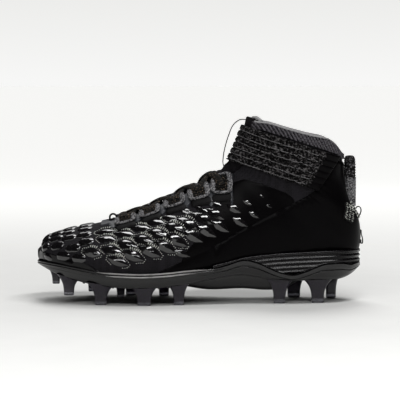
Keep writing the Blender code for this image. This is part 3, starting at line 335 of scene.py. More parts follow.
def within(outline: Sequence[Row]) -> Field:
    """Return a field that is positive inside a closed side outline, by its distance."""
    corners = [Vector((x, z)) for x, z in outline]

    def depth(p: Vector) -> float:
        """Signed distance of a point to the outline in side view."""
        spot = Vector((p.x, p.z))
        nearest = math.inf
        inside = False
        for a, b in zip(corners, corners[1:] + corners[:1]):
            edge = b - a
            share = min(max((spot - a).dot(edge) / edge.length_squared, 0.0), 1.0)
            nearest = min(nearest, (spot - a - edge * share).length)
            if (a.y > spot.y) != (b.y > spot.y):
                if spot.x < a.x + (spot.y - a.y) / (b.y - a.y) * (b.x - a.x):
                    inside = not inside
        return nearest if inside else -nearest

    return depth


def throat_half(x: float) -> float:
    """Return the half width of the throat at x."""
    return THROAT_BASE + (THROAT_TOP - THROAT_BASE) * between(THROAT_ROWS, x / LENGTH)


def out_of_throat(p: Vector) -> float:
    """Field that is positive outside the throat."""
    first, last = THROAT_ROWS[0][0] * LENGTH, THROAT_ROWS[-1][0] * LENGTH
    return max(abs(p.y) - throat_half(p.x), THROAT_FLOOR - p.z, first - p.x, p.x - last)


def add_node(tree: bpy.types.NodeTree, kind: str, settings: dict | None = None,
             links: dict | None = None) -> bpy.types.Node:
    """Add a shader node with its settings and links.

    Args:
        tree: node tree that gets the node.
        kind: Blender's name for the node's type.
        settings: values by attribute or by input socket.
        links: source sockets by the name of the input that they feed.

    Returns:
        The new node.
    """
    node = tree.nodes.new(kind)
    for key, value in (settings or {}).items():
        if hasattr(node, key):
            setattr(node, key, value)
        else:
            node.inputs[key].default_value = value
    for socket, source in (links or {}).items():
        tree.links.new(source, node.inputs[socket])
    return node


class Pattern(Enum):
    """The surface patterns that a finish may have."""

    GRAIN = "grain"
    MESH = "mesh"
    PILE = "pile"
    HEATHER = "heather"
    BRAID = "braid"


@dataclass(frozen=True)
class Finish:
    """One real material with its colours and surface."""

    name: str
    colour: str
    fleck: str
    roughness: float
    pattern: Pattern
    pitch: float
    bump: float
    contrast: float = 0.5
    coat: float = 0.0
    coat_roughness: float = 0.1
    ior: float = 1.5
    transmission: float = 0.0
    bias: float = 0.0

    def material(self) -> bpy.types.Material:
        """Return the finish as a material, made once."""
        made = bpy.data.materials.get(self.name)
        if made:
            return made
        made = bpy.data.materials.new(self.name)
        made.use_nodes = True
        tree = made.node_tree
        shader = tree.nodes["Principled BSDF"]
        values = {
            "Coat Weight": self.coat, "Coat Roughness": self.coat_roughness, "IOR": self.ior,
            "Transmission Weight": self.transmission,
        }
        for socket, value in values.items():
            shader.inputs[socket].default_value = value
        mask = self.mask(tree)
        ramp = add_node(tree, "ShaderNodeValToRGB", links={"Fac": mask})
        ramp.color_ramp.elements[0].position = max(0.5 + self.bias - 0.5 * (1.0 - self.contrast), 0.0)
        ramp.color_ramp.elements[1].position = min(0.5 + self.bias + 0.5 * (1.0 - self.contrast), 1.0)
        ramp.color_ramp.elements[0].color = linear(self.colour)
        ramp.color_ramp.elements[1].color = linear(self.fleck)
        tree.links.new(ramp.outputs["Color"], shader.inputs["Base Color"])
        rough = add_node(tree, "ShaderNodeMapRange",
                         {"To Min": self.roughness * 0.88, "To Max": min(self.roughness * 1.12, 1.0)},
                         {"Value": mask})
        tree.links.new(rough.outputs["Result"], shader.inputs["Roughness"])
        bump = add_node(tree, "ShaderNodeBump", {"Distance": self.bump, "Strength": 1.0}, {"Height": mask})
        tree.links.new(bump.outputs["Normal"], shader.inputs["Normal"])
        return made

    def mask(self, tree: bpy.types.NodeTree) -> bpy.types.NodeSocket:
        """Add the pattern's nodes, scaled to its pitch.

        Args:
            tree: the material's node tree.

        Returns:
            The socket that carries the pattern from 0 to 1.
        """
        place = add_node(tree, "ShaderNodeTexCoord")
        size = 1.0 / self.pitch
        scaled = add_node(tree, "ShaderNodeMapping", {"Scale": (size, size, size)},
                          {"Vector": place.outputs["Object"]})
        spot = scaled.outputs["Vector"]
        band = 2.0 * math.pi / 20.0
        if self.pattern is Pattern.GRAIN:
            return add_node(tree, "ShaderNodeTexNoise", {"Scale": 1.0, "Detail": 3.0},
                            {"Vector": spot}).outputs["Fac"]
        if self.pattern is Pattern.MESH:
            cells = add_node(tree, "ShaderNodeTexVoronoi", {"Scale": 1.0, "Randomness": 0.18},
                             {"Vector": spot})
            return add_node(tree, "ShaderNodeMapRange", {"From Min": 0.15, "From Max": 0.62},
                            {"Value": cells.outputs["Distance"]}).outputs["Result"]
        if self.pattern is Pattern.BRAID:
            first = add_node(tree, "ShaderNodeTexWave", {
                "bands_direction": "DIAGONAL", "Scale": band, "Distortion": 0.8,
            }, {"Vector": spot})
            turned = add_node(tree, "ShaderNodeMapping", {"Rotation": (0.4, 1.57, 0.3)}, {"Vector": spot})
            second = add_node(tree, "ShaderNodeTexWave", {
                "bands_direction": "DIAGONAL", "Scale": band, "Distortion": 0.8,
            }, {"Vector": turned.outputs["Vector"]})
            return add_node(tree, "ShaderNodeMath", {"operation": "MULTIPLY"},
                            {0: first.outputs["Fac"], 1: second.outputs["Fac"]}).outputs["Value"]
        detail = 6.0 if self.pattern is Pattern.PILE else 2.0
        threads = add_node(tree, "ShaderNodeTexNoise", {"Scale": 1.0, "Detail": detail, "Roughness": 0.65},
                           {"Vector": spot})
        return threads.outputs["Fac"]


# Thermoplastic urethane, cast over mesh: a wet gloss black that mirrors the lamps
SHELL_TPU = Finish("cast_tpu_scale", "#0b0a0b", "#100e10", 0.13, Pattern.GRAIN, 4.0 * MM, 0.02 * MM,
                   coat=0.6, coat_roughness=0.06)
# Polyester engineered mesh, knitted: dull dark cells between the scales
MESH_CLOTH = Finish("knitted_polyester_mesh", "#080709", "#1d1b1f", 0.75, Pattern.MESH, 1.5 * MM, 0.35 * MM,
                    contrast=0.3, ior=1.25)
# Polyurethane film, heat pressed: an even satin black
QUARTER_FILM = Finish("pressed_pu_film", "#040304", "#070607", 0.34, Pattern.GRAIN, 0.8 * MM, 0.02 * MM,
                      ior=1.13)
# A softer film over the toe's lowest band: a low gloss that stays dark over a white floor
TOE_FILM = Finish("pressed_toe_film", "#050405", "#090809", 0.24, Pattern.GRAIN, 1.2 * MM, 0.02 * MM, ior=1.3)
# The same film in grey along the throat: a soft satin that shows the light's edge
EYESTAY_FILM = Finish("pressed_pu_film_grey", "#292a2e", "#313338", 0.42, Pattern.GRAIN, 1.1 * MM, 0.03 * MM,
                      ior=1.4)
# Nylon plate, injection moulded: hard gloss black
PLATE_NYLON = Finish("moulded_nylon_plate", "#080708", "#0d0c0d", 0.26, Pattern.GRAIN, 3.0 * MM, 0.02 * MM,
                     ior=1.52)
# The nylon's raised bead in a pale grey that paints its highlight: a thin bright line along the forefoot
BEAD_PAINTED_HIGHLIGHT = Finish("nylon_bead_painted_highlight", "#6d6b6b", "#a3a1a0", 0.3, Pattern.GRAIN, 6.0 * MM, 0.02 * MM)
# EVA foam with its moulded skin: black with a low sheen
MIDSOLE_EVA = Finish("moulded_eva_skin", "#060406", "#0b080b", 0.27, Pattern.GRAIN, 1.4 * MM, 0.03 * MM,
                     ior=1.34)
# Clear smoked urethane, injection moulded: dark glass that lights up at its thin tips
STUD_TPU = Finish("smoked_clear_tpu", "#1d1722", "#2b2433", 0.10, Pattern.GRAIN, 5.0 * MM, 0.02 * MM,
                  ior=1.5, transmission=0.28)
# The same urethane left clear at the stud's tip: pale and bright against the smoke
CLEAR_TIP = Finish("clear_tpu_tip", "#706f77", "#8b8a93", 0.12, Pattern.GRAIN, 5.0 * MM, 0.02 * MM,
                   transmission=0.6)
# Polyester rib knit: soft dark ribs that catch grey on their crowns
KNIT_RIB = Finish("polyester_rib_knit", "#060506", "#1f1c20", 0.9, Pattern.GRAIN, 0.9 * MM, 0.2 * MM,
                  contrast=0.55, ior=1.2, bias=0.06)
# Polyester knit of the collar, a little paler: its slanted ribs show grey
COLLAR_KNIT = Finish("grey_collar_knit", "#0a090b", "#454247", 0.9, Pattern.GRAIN, 1.8 * MM, 0.2 * MM,
                     contrast=0.70, ior=1.2, bias=0.03)
# The crowns of the collar's ribs in a paler grey: a painted highlight where light would catch them
RIB_CROWN_PAINTED_HIGHLIGHT = Finish("rib_crown_painted_highlight", "#2b292d", "#5b585d", 0.9, Pattern.GRAIN, 1.6 * MM, 0.15 * MM,
                   contrast=0.6)
# Nylon loop pile, drawn coarser than its 0.4 mm yarn so that it shows: black with grey flecks
PILE_LOOP = Finish("nylon_loop_pile", "#030303", "#6c696a", 0.9, Pattern.PILE, 2.0 * MM, 0.7 * MM,
                   contrast=0.82, ior=1.15, bias=0.10)
# Polyester webbing of mixed yarns: a flecked mid grey
HEATHER_WEB = Finish("heather_polyester_webbing", "#19181a", "#8d8c8e", 0.85, Pattern.HEATHER, 1.5 * MM,
                     0.3 * MM, contrast=0.74, ior=1.25, bias=0.03)
# Woven polyester lace with tan flecks, drawn coarser than its yarn: black with warm points
LACE_BRAID = Finish("braided_polyester_lace", "#040404", "#857361", 0.85, Pattern.PILE, 1.5 * MM, 0.5 * MM,
                    contrast=0.88, ior=1.25, bias=0.13)
# Nylon webbing, woven black: flat and dull
BLACK_WEB = Finish("black_nylon_webbing", "#080708", "#161416", 0.7, Pattern.BRAID, 1.1 * MM, 0.25 * MM,
                   ior=1.25)
# Polyester thread: pale stitches that stand out one by one
PALE_THREAD = Finish("pale_polyester_thread", "#cfd1ca", "#e6e8e0", 0.6, Pattern.GRAIN, 0.5 * MM, 0.05 * MM)
# Grey thread of the strap's rows: a thin line that parts pile from groove
GREY_THREAD = Finish("grey_polyester_thread", "#3a383a", "#7b797b", 0.7, Pattern.GRAIN, 1.5 * MM, 0.05 * MM,
                     contrast=0.6)
# Brushed polyester lining: soft dark grey
LINING = Finish("brushed_polyester_lining", "#0c0b0d", "#1c1a1d", 0.9, Pattern.MESH, 1.3 * MM, 0.2 * MM,
                contrast=0.4, ior=1.3)
# Chunky polyester knit of the heel pull: dark with a few grey loops
HEATHER_DARK = Finish("dark_heather_knit", "#050505", "#8f8d90", 0.88, Pattern.PILE, 1.9 * MM, 0.6 * MM,
                      contrast=0.86, ior=1.25, bias=0.09)
# Light grey knitted edge of the collar
PALE_EDGE = Finish("pale_knitted_edge", "#666567", "#a6a5a5", 0.85, Pattern.HEATHER, 0.8 * MM, 0.2 * MM,
                   contrast=0.5)
# Painted board of the studio floor: even near white
FLOOR_PAINT = Finish("matt_white_floor", "#e1e1df", "#e4e4e2", 0.9, Pattern.GRAIN, 40.0 * MM, 0.0)


class MeshBin:
    """Collects vertices and faces for one mesh object."""

    def __init__(self) -> None:
        """Start with nothing in the bin."""
        self.vertices: list[Vector] = []
        self.faces: list[tuple[int, ...]] = []

    def grid(self, rows: Sequence[Sequence[Vector]], wrap: bool = False) -> None:
        """Add a grid of quads.

        Args:
            rows: points, row by row.
            wrap: whether the last column joins the first.
        """
        start = len(self.vertices)
        columns = len(rows[0])
        for row in rows:
            self.vertices.extend(row)
        for i in range(len(rows) - 1):
            for j in range(columns if wrap else columns - 1):
                k = (j + 1) % columns
                a, b = start + i * columns, start + (i + 1) * columns
                self.faces.append((a + j, a + k, b + k, b + j))

    def loft(self, rings: Sequence[Sequence[Vector]]) -> None:
        """Add closed rings joined in order, with both ends closed."""
        start = len(self.vertices)
        count = len(rings[0])
        self.grid(rings, wrap=True)
        last = start + (len(rings) - 1) * count
        self.faces.append(tuple(start + i for i in range(count))[::-1])
        self.faces.append(tuple(last + i for i in range(count)))

    def tube(self, path: Sequence[Vector], radius: float | Sequence[float], sides: int = 8, flat: float = 1.0,
             normals: Sequence[Vector] | None = None) -> None:
        """Add a tube along a path.

        Args:
            path: points along the middle.
            radius: half of its width, one for all points or one for each.
            sides: corners of its section.
            flat: share of the radius that it keeps along the normal.
            normals: outward direction at each point, up where missing.
        """
        rings = []
        for i, point in enumerate(path):
            along = tangent(path, i).normalized()
            out = normals[i] if normals else Vector((0.0, 0.0, 1.0))
            across = along.cross(out).normalized()
            out = across.cross(along).normalized()
            reach = radius[i] if isinstance(radius, (list, tuple)) else radius
            ring = []
            for k in range(sides):
                angle = 2.0 * math.pi * k / sides
                ring.append(point + across * reach * math.cos(angle) + out * reach * flat * math.sin(angle))
            rings.append(ring)
        self.loft(rings)

    def stitch(self, start: Vector, end: Vector, normal: Vector, width: float, height: float) -> None:
        """Add one stitch of thread between two points on a surface."""
        along = (end - start).normalized()
        across = along.cross(normal).normalized() * width / 2
        low = -normal * height * 0.3
        middle = (start + end) / 2 + normal * height
        base = [start + low, (start + end) / 2 + across + low, end + low, (start + end) / 2 - across + low]
        first = len(self.vertices)
        rise = normal * height * 0.75
        crown = [start.lerp(end, 0.25) + rise, middle + across * 0.4, start.lerp(end, 0.75) + rise,
                 middle - across * 0.4]
        self.vertices.extend(base + crown)
        self.faces.append(tuple(first + i for i in (4, 5, 6, 7)))
        for i in range(4):
            j = (i + 1) % 4
            self.faces.append((first + i, first + j, first + 4 + j, first + 4 + i))

    def build(self, name: str, finish: Finish, sharp: float = 40.0) -> bpy.types.Object:
        """Return the bin as an object.

        Args:
            name: the object's name.
            finish: its material.
            sharp: angle in degrees from which an edge is kept sharp.

        Returns:
            The new object, linked to the scene.
        """
        mesh = bpy.data.meshes.new(name)
        mesh.from_pydata([tuple(v) for v in self.vertices], [], self.faces)
        work = bmesh.new()
        work.from_mesh(mesh)
        bmesh.ops.remove_doubles(work, verts=work.verts, dist=0.01 * MM)
        bmesh.ops.recalc_face_normals(work, faces=work.faces)
        work.to_mesh(mesh)
        work.free()
        mesh.shade_smooth()
        mesh.set_sharp_from_angle(angle=math.radians(sharp))
        mesh.materials.append(finish.material())
        made = bpy.data.objects.new(name, mesh)
        bpy.context.scene.collection.objects.link(made)
        return made


@dataclass
class FootForm:
    """The last-shaped form that every layer of the upper lies on."""

    steps: int = 8
    low_points: int = 12
    top_points: int = 40
    cap_rings: int = 5
    toe_bulge: float = 1.9 * MM
    points: np.ndarray = field(init=False)
    normals: np.ndarray = field(init=False)

    def __post_init__(self) -> None:
        """Work out the grid of points and outward normals, and a search tree."""
        rows = [[v * k for v, k in zip(row, FOOT_UNITS)] for row in FOOT_ROWS]
        rows += [[v * k for v, k in zip(row, ANKLE_UNITS)] for row in ANKLE_ROWS]
        rings = [self.ring(row) for row in smooth_rows(rows, self.steps)]
        first = rings[0]
        middle = first.mean(axis=0)
        cap = []
        for k in range(self.cap_rings, 0, -1):
            turn = math.radians(88.0 * k / self.cap_rings)
            ring = middle + (first - middle) * math.cos(turn)
            ring[:, 0] -= self.toe_bulge * math.sin(turn)
            cap.append(ring)
        self.points = np.array(cap + rings)
        around = np.roll(self.points, -1, axis=1) - np.roll(self.points, 1, axis=1)
        normals = np.cross(around, np.gradient(self.points, axis=0))
        outward = self.points - self.points.mean(axis=1, keepdims=True)
        if (normals * outward).sum() < 0:
            normals = -normals
        self.normals = normals / np.maximum(np.linalg.norm(normals, axis=2, keepdims=True), 1e-12)
        self.columns = self.points.shape[1]
        flat = [Vector(p) for p in self.points.reshape(-1, 3)]
        quads = []
        for i in range(len(self.points) - 1):
            for j in range(self.columns):
                k = (j + 1) % self.columns
                a, b = i * self.columns, (i + 1) * self.columns
                quads.append((a + j, a + k, b + k, b + j))
        self.tree = BVHTree.FromPolygons(flat, quads)

    def ring(self, section: Row) -> np.ndarray:
        """Return one ring, from the middle of the back or sole round by the lateral side."""
        back_x, back_z, front_x, front_z, lateral, medial, ridge, belly, low, top = section
        angles = np.concatenate([
            -90.0 + 90.0 * np.arange(self.low_points) / self.low_points,
            90.0 * np.arange(self.top_points + 1) / self.top_points,
        ])
        power = np.where(angles < 0, low, top)
        reach = np.abs(np.cos(np.radians(angles))) ** (2.0 / power)
        reach[[0, -1]] = 0.0
        climb = np.abs(np.sin(np.radians(angles))) ** (2.0 / power)
        share = np.where(angles < 0, belly * (1.0 - climb), belly + (1.0 - belly) * climb)
        centre = (lateral + medial) / 2
        middle = centre + (ridge - centre) * share
        x = back_x + (front_x - back_x) * share
        z = back_z + (front_z - back_z) * share
        near = np.stack([x, middle + (lateral - middle) * reach, z], axis=1)
        far = np.stack([x, middle + (medial - middle) * reach, z], axis=1)
        return np.concatenate([near, far[-2:0:-1]])

    def locate(self, spot: Vector) -> tuple[float, float]:
        """Return the ring and column of the form's point nearest to a spot."""
        found, _, index, _ = self.tree.find_nearest(spot)
        i, j = divmod(index, self.columns)
        k = (j + 1) % self.columns
        corner = Vector(self.points[i, j])
        down = Vector(self.points[i + 1, j]) - corner
        over = Vector(self.points[i, k]) - corner
        a = (found - corner).dot(down) / max(down.length_squared, 1e-14)
        b = (found - corner).dot(over) / max(over.length_squared, 1e-14)
        return i + min(max(a, 0.0), 1.0), j + min(max(b, 0.0), 1.0)

    def at(self, u: float, w: float, height: float = 0.0) -> tuple[Vector, Vector]:
        """Return the point and normal at a ring and column, raised by a height."""
        i = min(int(u), len(self.points) - 2)
        j = int(math.floor(w)) % self.columns
        k = (j + 1) % self.columns
        a, b = u - i, w - math.floor(w)
        weights = ((i, j, (1 - a) * (1 - b)), (i, k, (1 - a) * b), (i + 1, j, a * (1 - b)), (i + 1, k, a * b))
        point = sum((Vector(self.points[r, c]) * s for r, c, s in weights), Vector())
        normal = sum((Vector(self.normals[r, c]) * s for r, c, s in weights), Vector()).normalized()
        return point + normal * height, normal

    def on(self, spot: Vector, height: float = 0.0) -> tuple[Vector, Vector]:
        """Return the form's point nearest to a spot, raised by a height, and its normal."""
        return self.at(*self.locate(spot), height)

    def mirrored(self, spot: Vector) -> Vector:
        """Return the point of the other side that matches a point of the form."""
        u, w = self.locate(spot)
        return self.at(u, self.columns - w)[0]

    def from_side(self, x: float, z: float, side: float = -1.0) -> Vector | None:
        """Return where a level line from one side meets the form."""
        return self.tree.ray_cast(Vector((x, side * 0.3, z)), Vector((0.0, -side, 0.0)))[0]

    def from_top(self, x: float, y: float, height: float = 0.0) -> tuple[Vector, Vector]:
        """Return the raised point and normal where a line from above meets the form."""
        hit = self.tree.ray_cast(Vector((x, y, 0.5)), Vector((0.0, 0.0, -1.0)))[0]
        return self.on(hit, height)

    def window(self, fine: int, first: float = 0.0,
               last: float | None = None) -> tuple[np.ndarray, np.ndarray]:
        """Return points and normals of a span of rings at a finer spacing.

        Args:
            fine: number of parts that each cell is cut into both ways.
            first: first ring.
            last: last ring, the end of the form where missing.

        Returns:
            Arrays of points and normals.
        """
        end = len(self.points) - 1 if last is None else last
        u = np.arange(first, end + 1e-6, 1.0 / fine)
        w = np.arange(0, self.columns, 1.0 / fine)
        i = np.minimum(u.astype(int), len(self.points) - 2)
        a = (u - i)[:, None, None]
        j = w.astype(int)
        k = (j + 1) % self.columns
        b = (w - j)[None, :, None]
        made = []
        for grid in (self.points, self.normals):
            low = grid[i][:, j] * (1 - b) + grid[i][:, k] * b
            high = grid[i + 1][:, j] * (1 - b) + grid[i + 1][:, k] * b
            made.append(low * (1 - a) + high * a)
        made[1] /= np.maximum(np.linalg.norm(made[1], axis=2, keepdims=True), 1e-12)
        return made[0], made[1]


@dataclass
class Layer:
    """A sheet of the upper: the part of the form where every field is positive, with a thickness."""

    form: FootForm
    name: str
    fields: Sequence[Field]
    low: float
    high: float
    finish: Finish
    inside: Finish | None = None
    fine: int = 1
    first: float = 0.0
    last: float | None = None
    edge: float = 0.45
    relief: Field | None = None
    accent: Finish | None = None
    accent_where: Field | None = None

    def build(self) -> bpy.types.Object:
        """Cut the sheet out of the form and return it as a closed object."""
        points, normals = self.form.window(self.fine, self.first, self.last)
        work = self.cut(points, normals)
        out = work.verts.layers.float_vector["out"]
        work.verts.index_update()
        edges = [edge for edge in work.edges if edge.is_boundary]
        rim = {vertex for edge in edges for vertex in edge.verts}
        count = len(work.verts)
        top, bottom = [], []
        for vertex in work.verts:
            normal = Vector(vertex[out]).normalized()
            rise = self.high + (self.relief(vertex.co) if self.relief else 0.0)
            if vertex in rim:
                rise = self.low + (rise - self.low) * self.edge
            top.append(vertex.co + normal * rise)
            bottom.append(vertex.co + normal * self.low)
        faces = [tuple(v.index for v in face.verts) for face in work.faces]
        lower = [tuple(i + count for i in reversed(face)) for face in faces]
        walls = []
        for edge in edges:
            face = edge.link_faces[0]
            loop = next(item for item in face.loops if item.edge == edge)
            a, b = loop.vert.index, loop.link_loop_next.vert.index
            walls.append((b, a, a + count, b + count))
        work.free()
        mesh = bpy.data.meshes.new(self.name)
        mesh.from_pydata([tuple(v) for v in top + bottom], [], faces + lower + walls)
        mesh.materials.append(self.finish.material())
        if self.inside:
            mesh.materials.append(self.inside.material())
            for polygon in mesh.polygons[len(faces):len(faces) + len(lower)]:
                polygon.material_index = 1
        if self.accent and self.accent_where:
            mesh.materials.append(self.accent.material())
            last = len(mesh.materials) - 1
            for polygon in mesh.polygons[:len(faces)]:
                if self.accent_where(polygon.center) > 0:
                    polygon.material_index = last
        mesh.shade_smooth()
        mesh.set_sharp_from_angle(angle=math.radians(50.0))
        made = bpy.data.objects.new(self.name, mesh)
        bpy.context.scene.collection.objects.link(made)
        return made

    def cut(self, points: np.ndarray, normals: np.ndarray) -> bmesh.types.BMesh:
        """Return the form's grid cut along the zero line of every field."""
        rows, columns = points.shape[:2]
        flat = [Vector(p) for p in points.reshape(-1, 3)]
        values = np.array([[test(p) for p in flat] for test in self.fields]).reshape(-1, rows, columns)
        near = np.roll(values, -1, axis=2)
        best = np.maximum(np.maximum(values[:, :-1], values[:, 1:]), np.maximum(near[:, :-1], near[:, 1:]))
        keep = (best > 0).all(axis=0)
        work = bmesh.new()
        out = work.verts.layers.float_vector.new("out")
        made: dict[int, bmesh.types.BMVert] = {}
        outward = normals.reshape(-1, 3)
        for i, j in zip(*np.nonzero(keep)):
            corners = []
            for r, c in ((i, j), (i, j + 1), (i + 1, j + 1), (i + 1, j)):
                index = int(r * columns + c % columns)
                if index not in made:
                    made[index] = work.verts.new(flat[index])
                    made[index][out] = outward[index]
                corners.append(made[index])
            work.faces.new(corners)
        for test in self.fields:
            self.split(work, test)
        loose = [vertex for vertex in work.verts if not vertex.link_faces]
        bmesh.ops.delete(work, geom=loose, context="VERTS")
        work.normal_update()
        if work.faces:
            lean = sum(face.normal.dot(Vector(face.verts[0][out])) for face in work.faces)
            if lean < 0:
                bmesh.ops.reverse_faces(work, faces=work.faces)
        return work

    @staticmethod
    def split(work: bmesh.types.BMesh, test: Field) -> None:
        """Split faces along a field's zero line and drop those on its negative side."""
        values = {vertex: test(vertex.co) for vertex in work.verts}
        close = 0.02
        for edge in list(work.edges):
            a, b = edge.verts
            if values[a] * values[b] < 0:
                share = values[a] / (values[a] - values[b])
                share = min(max(share, close), 1.0 - close)
                _, fresh = bmesh.utils.edge_split(edge, a, share)
                values[fresh] = 0.0
        for face in list(work.faces):
            cuts = [vertex for vertex in face.verts if values[vertex] == 0.0]
            signs = [values[vertex] for vertex in face.verts]
            if len(cuts) == 2 and min(signs) < 0 < max(signs):
                bmesh.utils.face_split(face, cuts[0], cuts[1])
        drop = [face for face in work.faces if sum(values[vertex] for vertex in face.verts) <= 0]
        bmesh.ops.delete(work, geom=drop, context="FACES")


@dataclass
class Shoe:
    """Places finished meshes on the frame."""

    shift: Vector
    form: FootForm = field(default_factory=FootForm)

    def publish(self, piece: bpy.types.Object, slot: str, *nodes: str) -> bpy.types.Object:
        """Move a piece onto the frame, and hide the solids that it replaces.

        Args:
            piece: object whose mesh is in the shoe's own frame.
            slot: not used.
            nodes: solids that it replaces.

        Returns:
            The same object.
        """
        piece.data.transform(Matrix.Translation(self.shift))
        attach(piece, BODY)
        if nodes:
            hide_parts(*nodes)
        LOG.info("%s: %d faces", piece.name, len(piece.data.polygons))
        return piece


def local_axes(normal: Vector, side: float, tilt: float) -> tuple[Vector, Vector]:
    """Return the directions along and up a surface patch.

    Args:
        normal: the surface's outward normal.
        side: -1 on the lateral side, 1 on the medial side.
        tilt: turn in degrees, down towards the heel.

    Returns:
        Unit vectors towards the heel and up the girth.
    """
    along = (Vector((1.0, 0.0, 0.0)) - normal * normal.x).normalized()
    rise = normal.cross(along) * -side
    turn = math.radians(tilt)
    return along * math.cos(turn) - rise * math.sin(turn), rise * math.cos(turn) + along * math.sin(turn)


@dataclass
class SurfacePatch:
    """A small raised body that follows the form: a scale or a webbing tab."""

    form: FootForm
    centre: Vector
    side: float
    tilt: float
    length: float
    height: float

    def spot(self, x: float, y: float, rise: float) -> Vector:
        """Return the raised surface point at an offset from the patch's middle."""
        _, normal = self.form.on(self.centre)
        along, up = local_axes(normal, self.side, self.tilt)
        return self.form.on(self.centre + along * x + up * y, rise)[0]

    def rows(self, reach: Callable[[float], float], profile: Callable[[float, float], float],
             columns: int, levels: int) -> list[list[Vector]]:
        """Return the patch's grid.

        Args:
            reach: share of the half height at a place from -1 to 1 along the length.
            profile: height over the surface at a place along and across.
            columns: cells along.
            levels: cells across.

        Returns:
            Rows of points from one end to the other.
        """
        _, normal = self.form.on(self.centre)
        along, up = local_axes(normal, self.side, self.tilt)
        grid = []
        for i in range(columns + 1):
            s = -math.cos(math.pi * i / columns)
            row = []
            for j in range(levels + 1):
                t = -math.cos(math.pi * j / levels)
                x, y = s * self.length / 2, t * reach(s) * self.height / 2
                row.append(self.form.on(self.centre + along * x + up * y, profile(s, t))[0])
            grid.append(row)
        return grid


def hex_reach(s: float) -> float:
    """Share of the half height of a rounded hexagon along its length."""
    return min(1.0, 0.30 + 1.9 * (1.0 - abs(s))) ** 0.8


def lozenge_reach(s: float) -> float:
    """Share of the half height of a long lozenge with blunt ends."""
    return min(1.0, 0.12 + 1.30 * (1.0 - abs(s))) ** 0.95


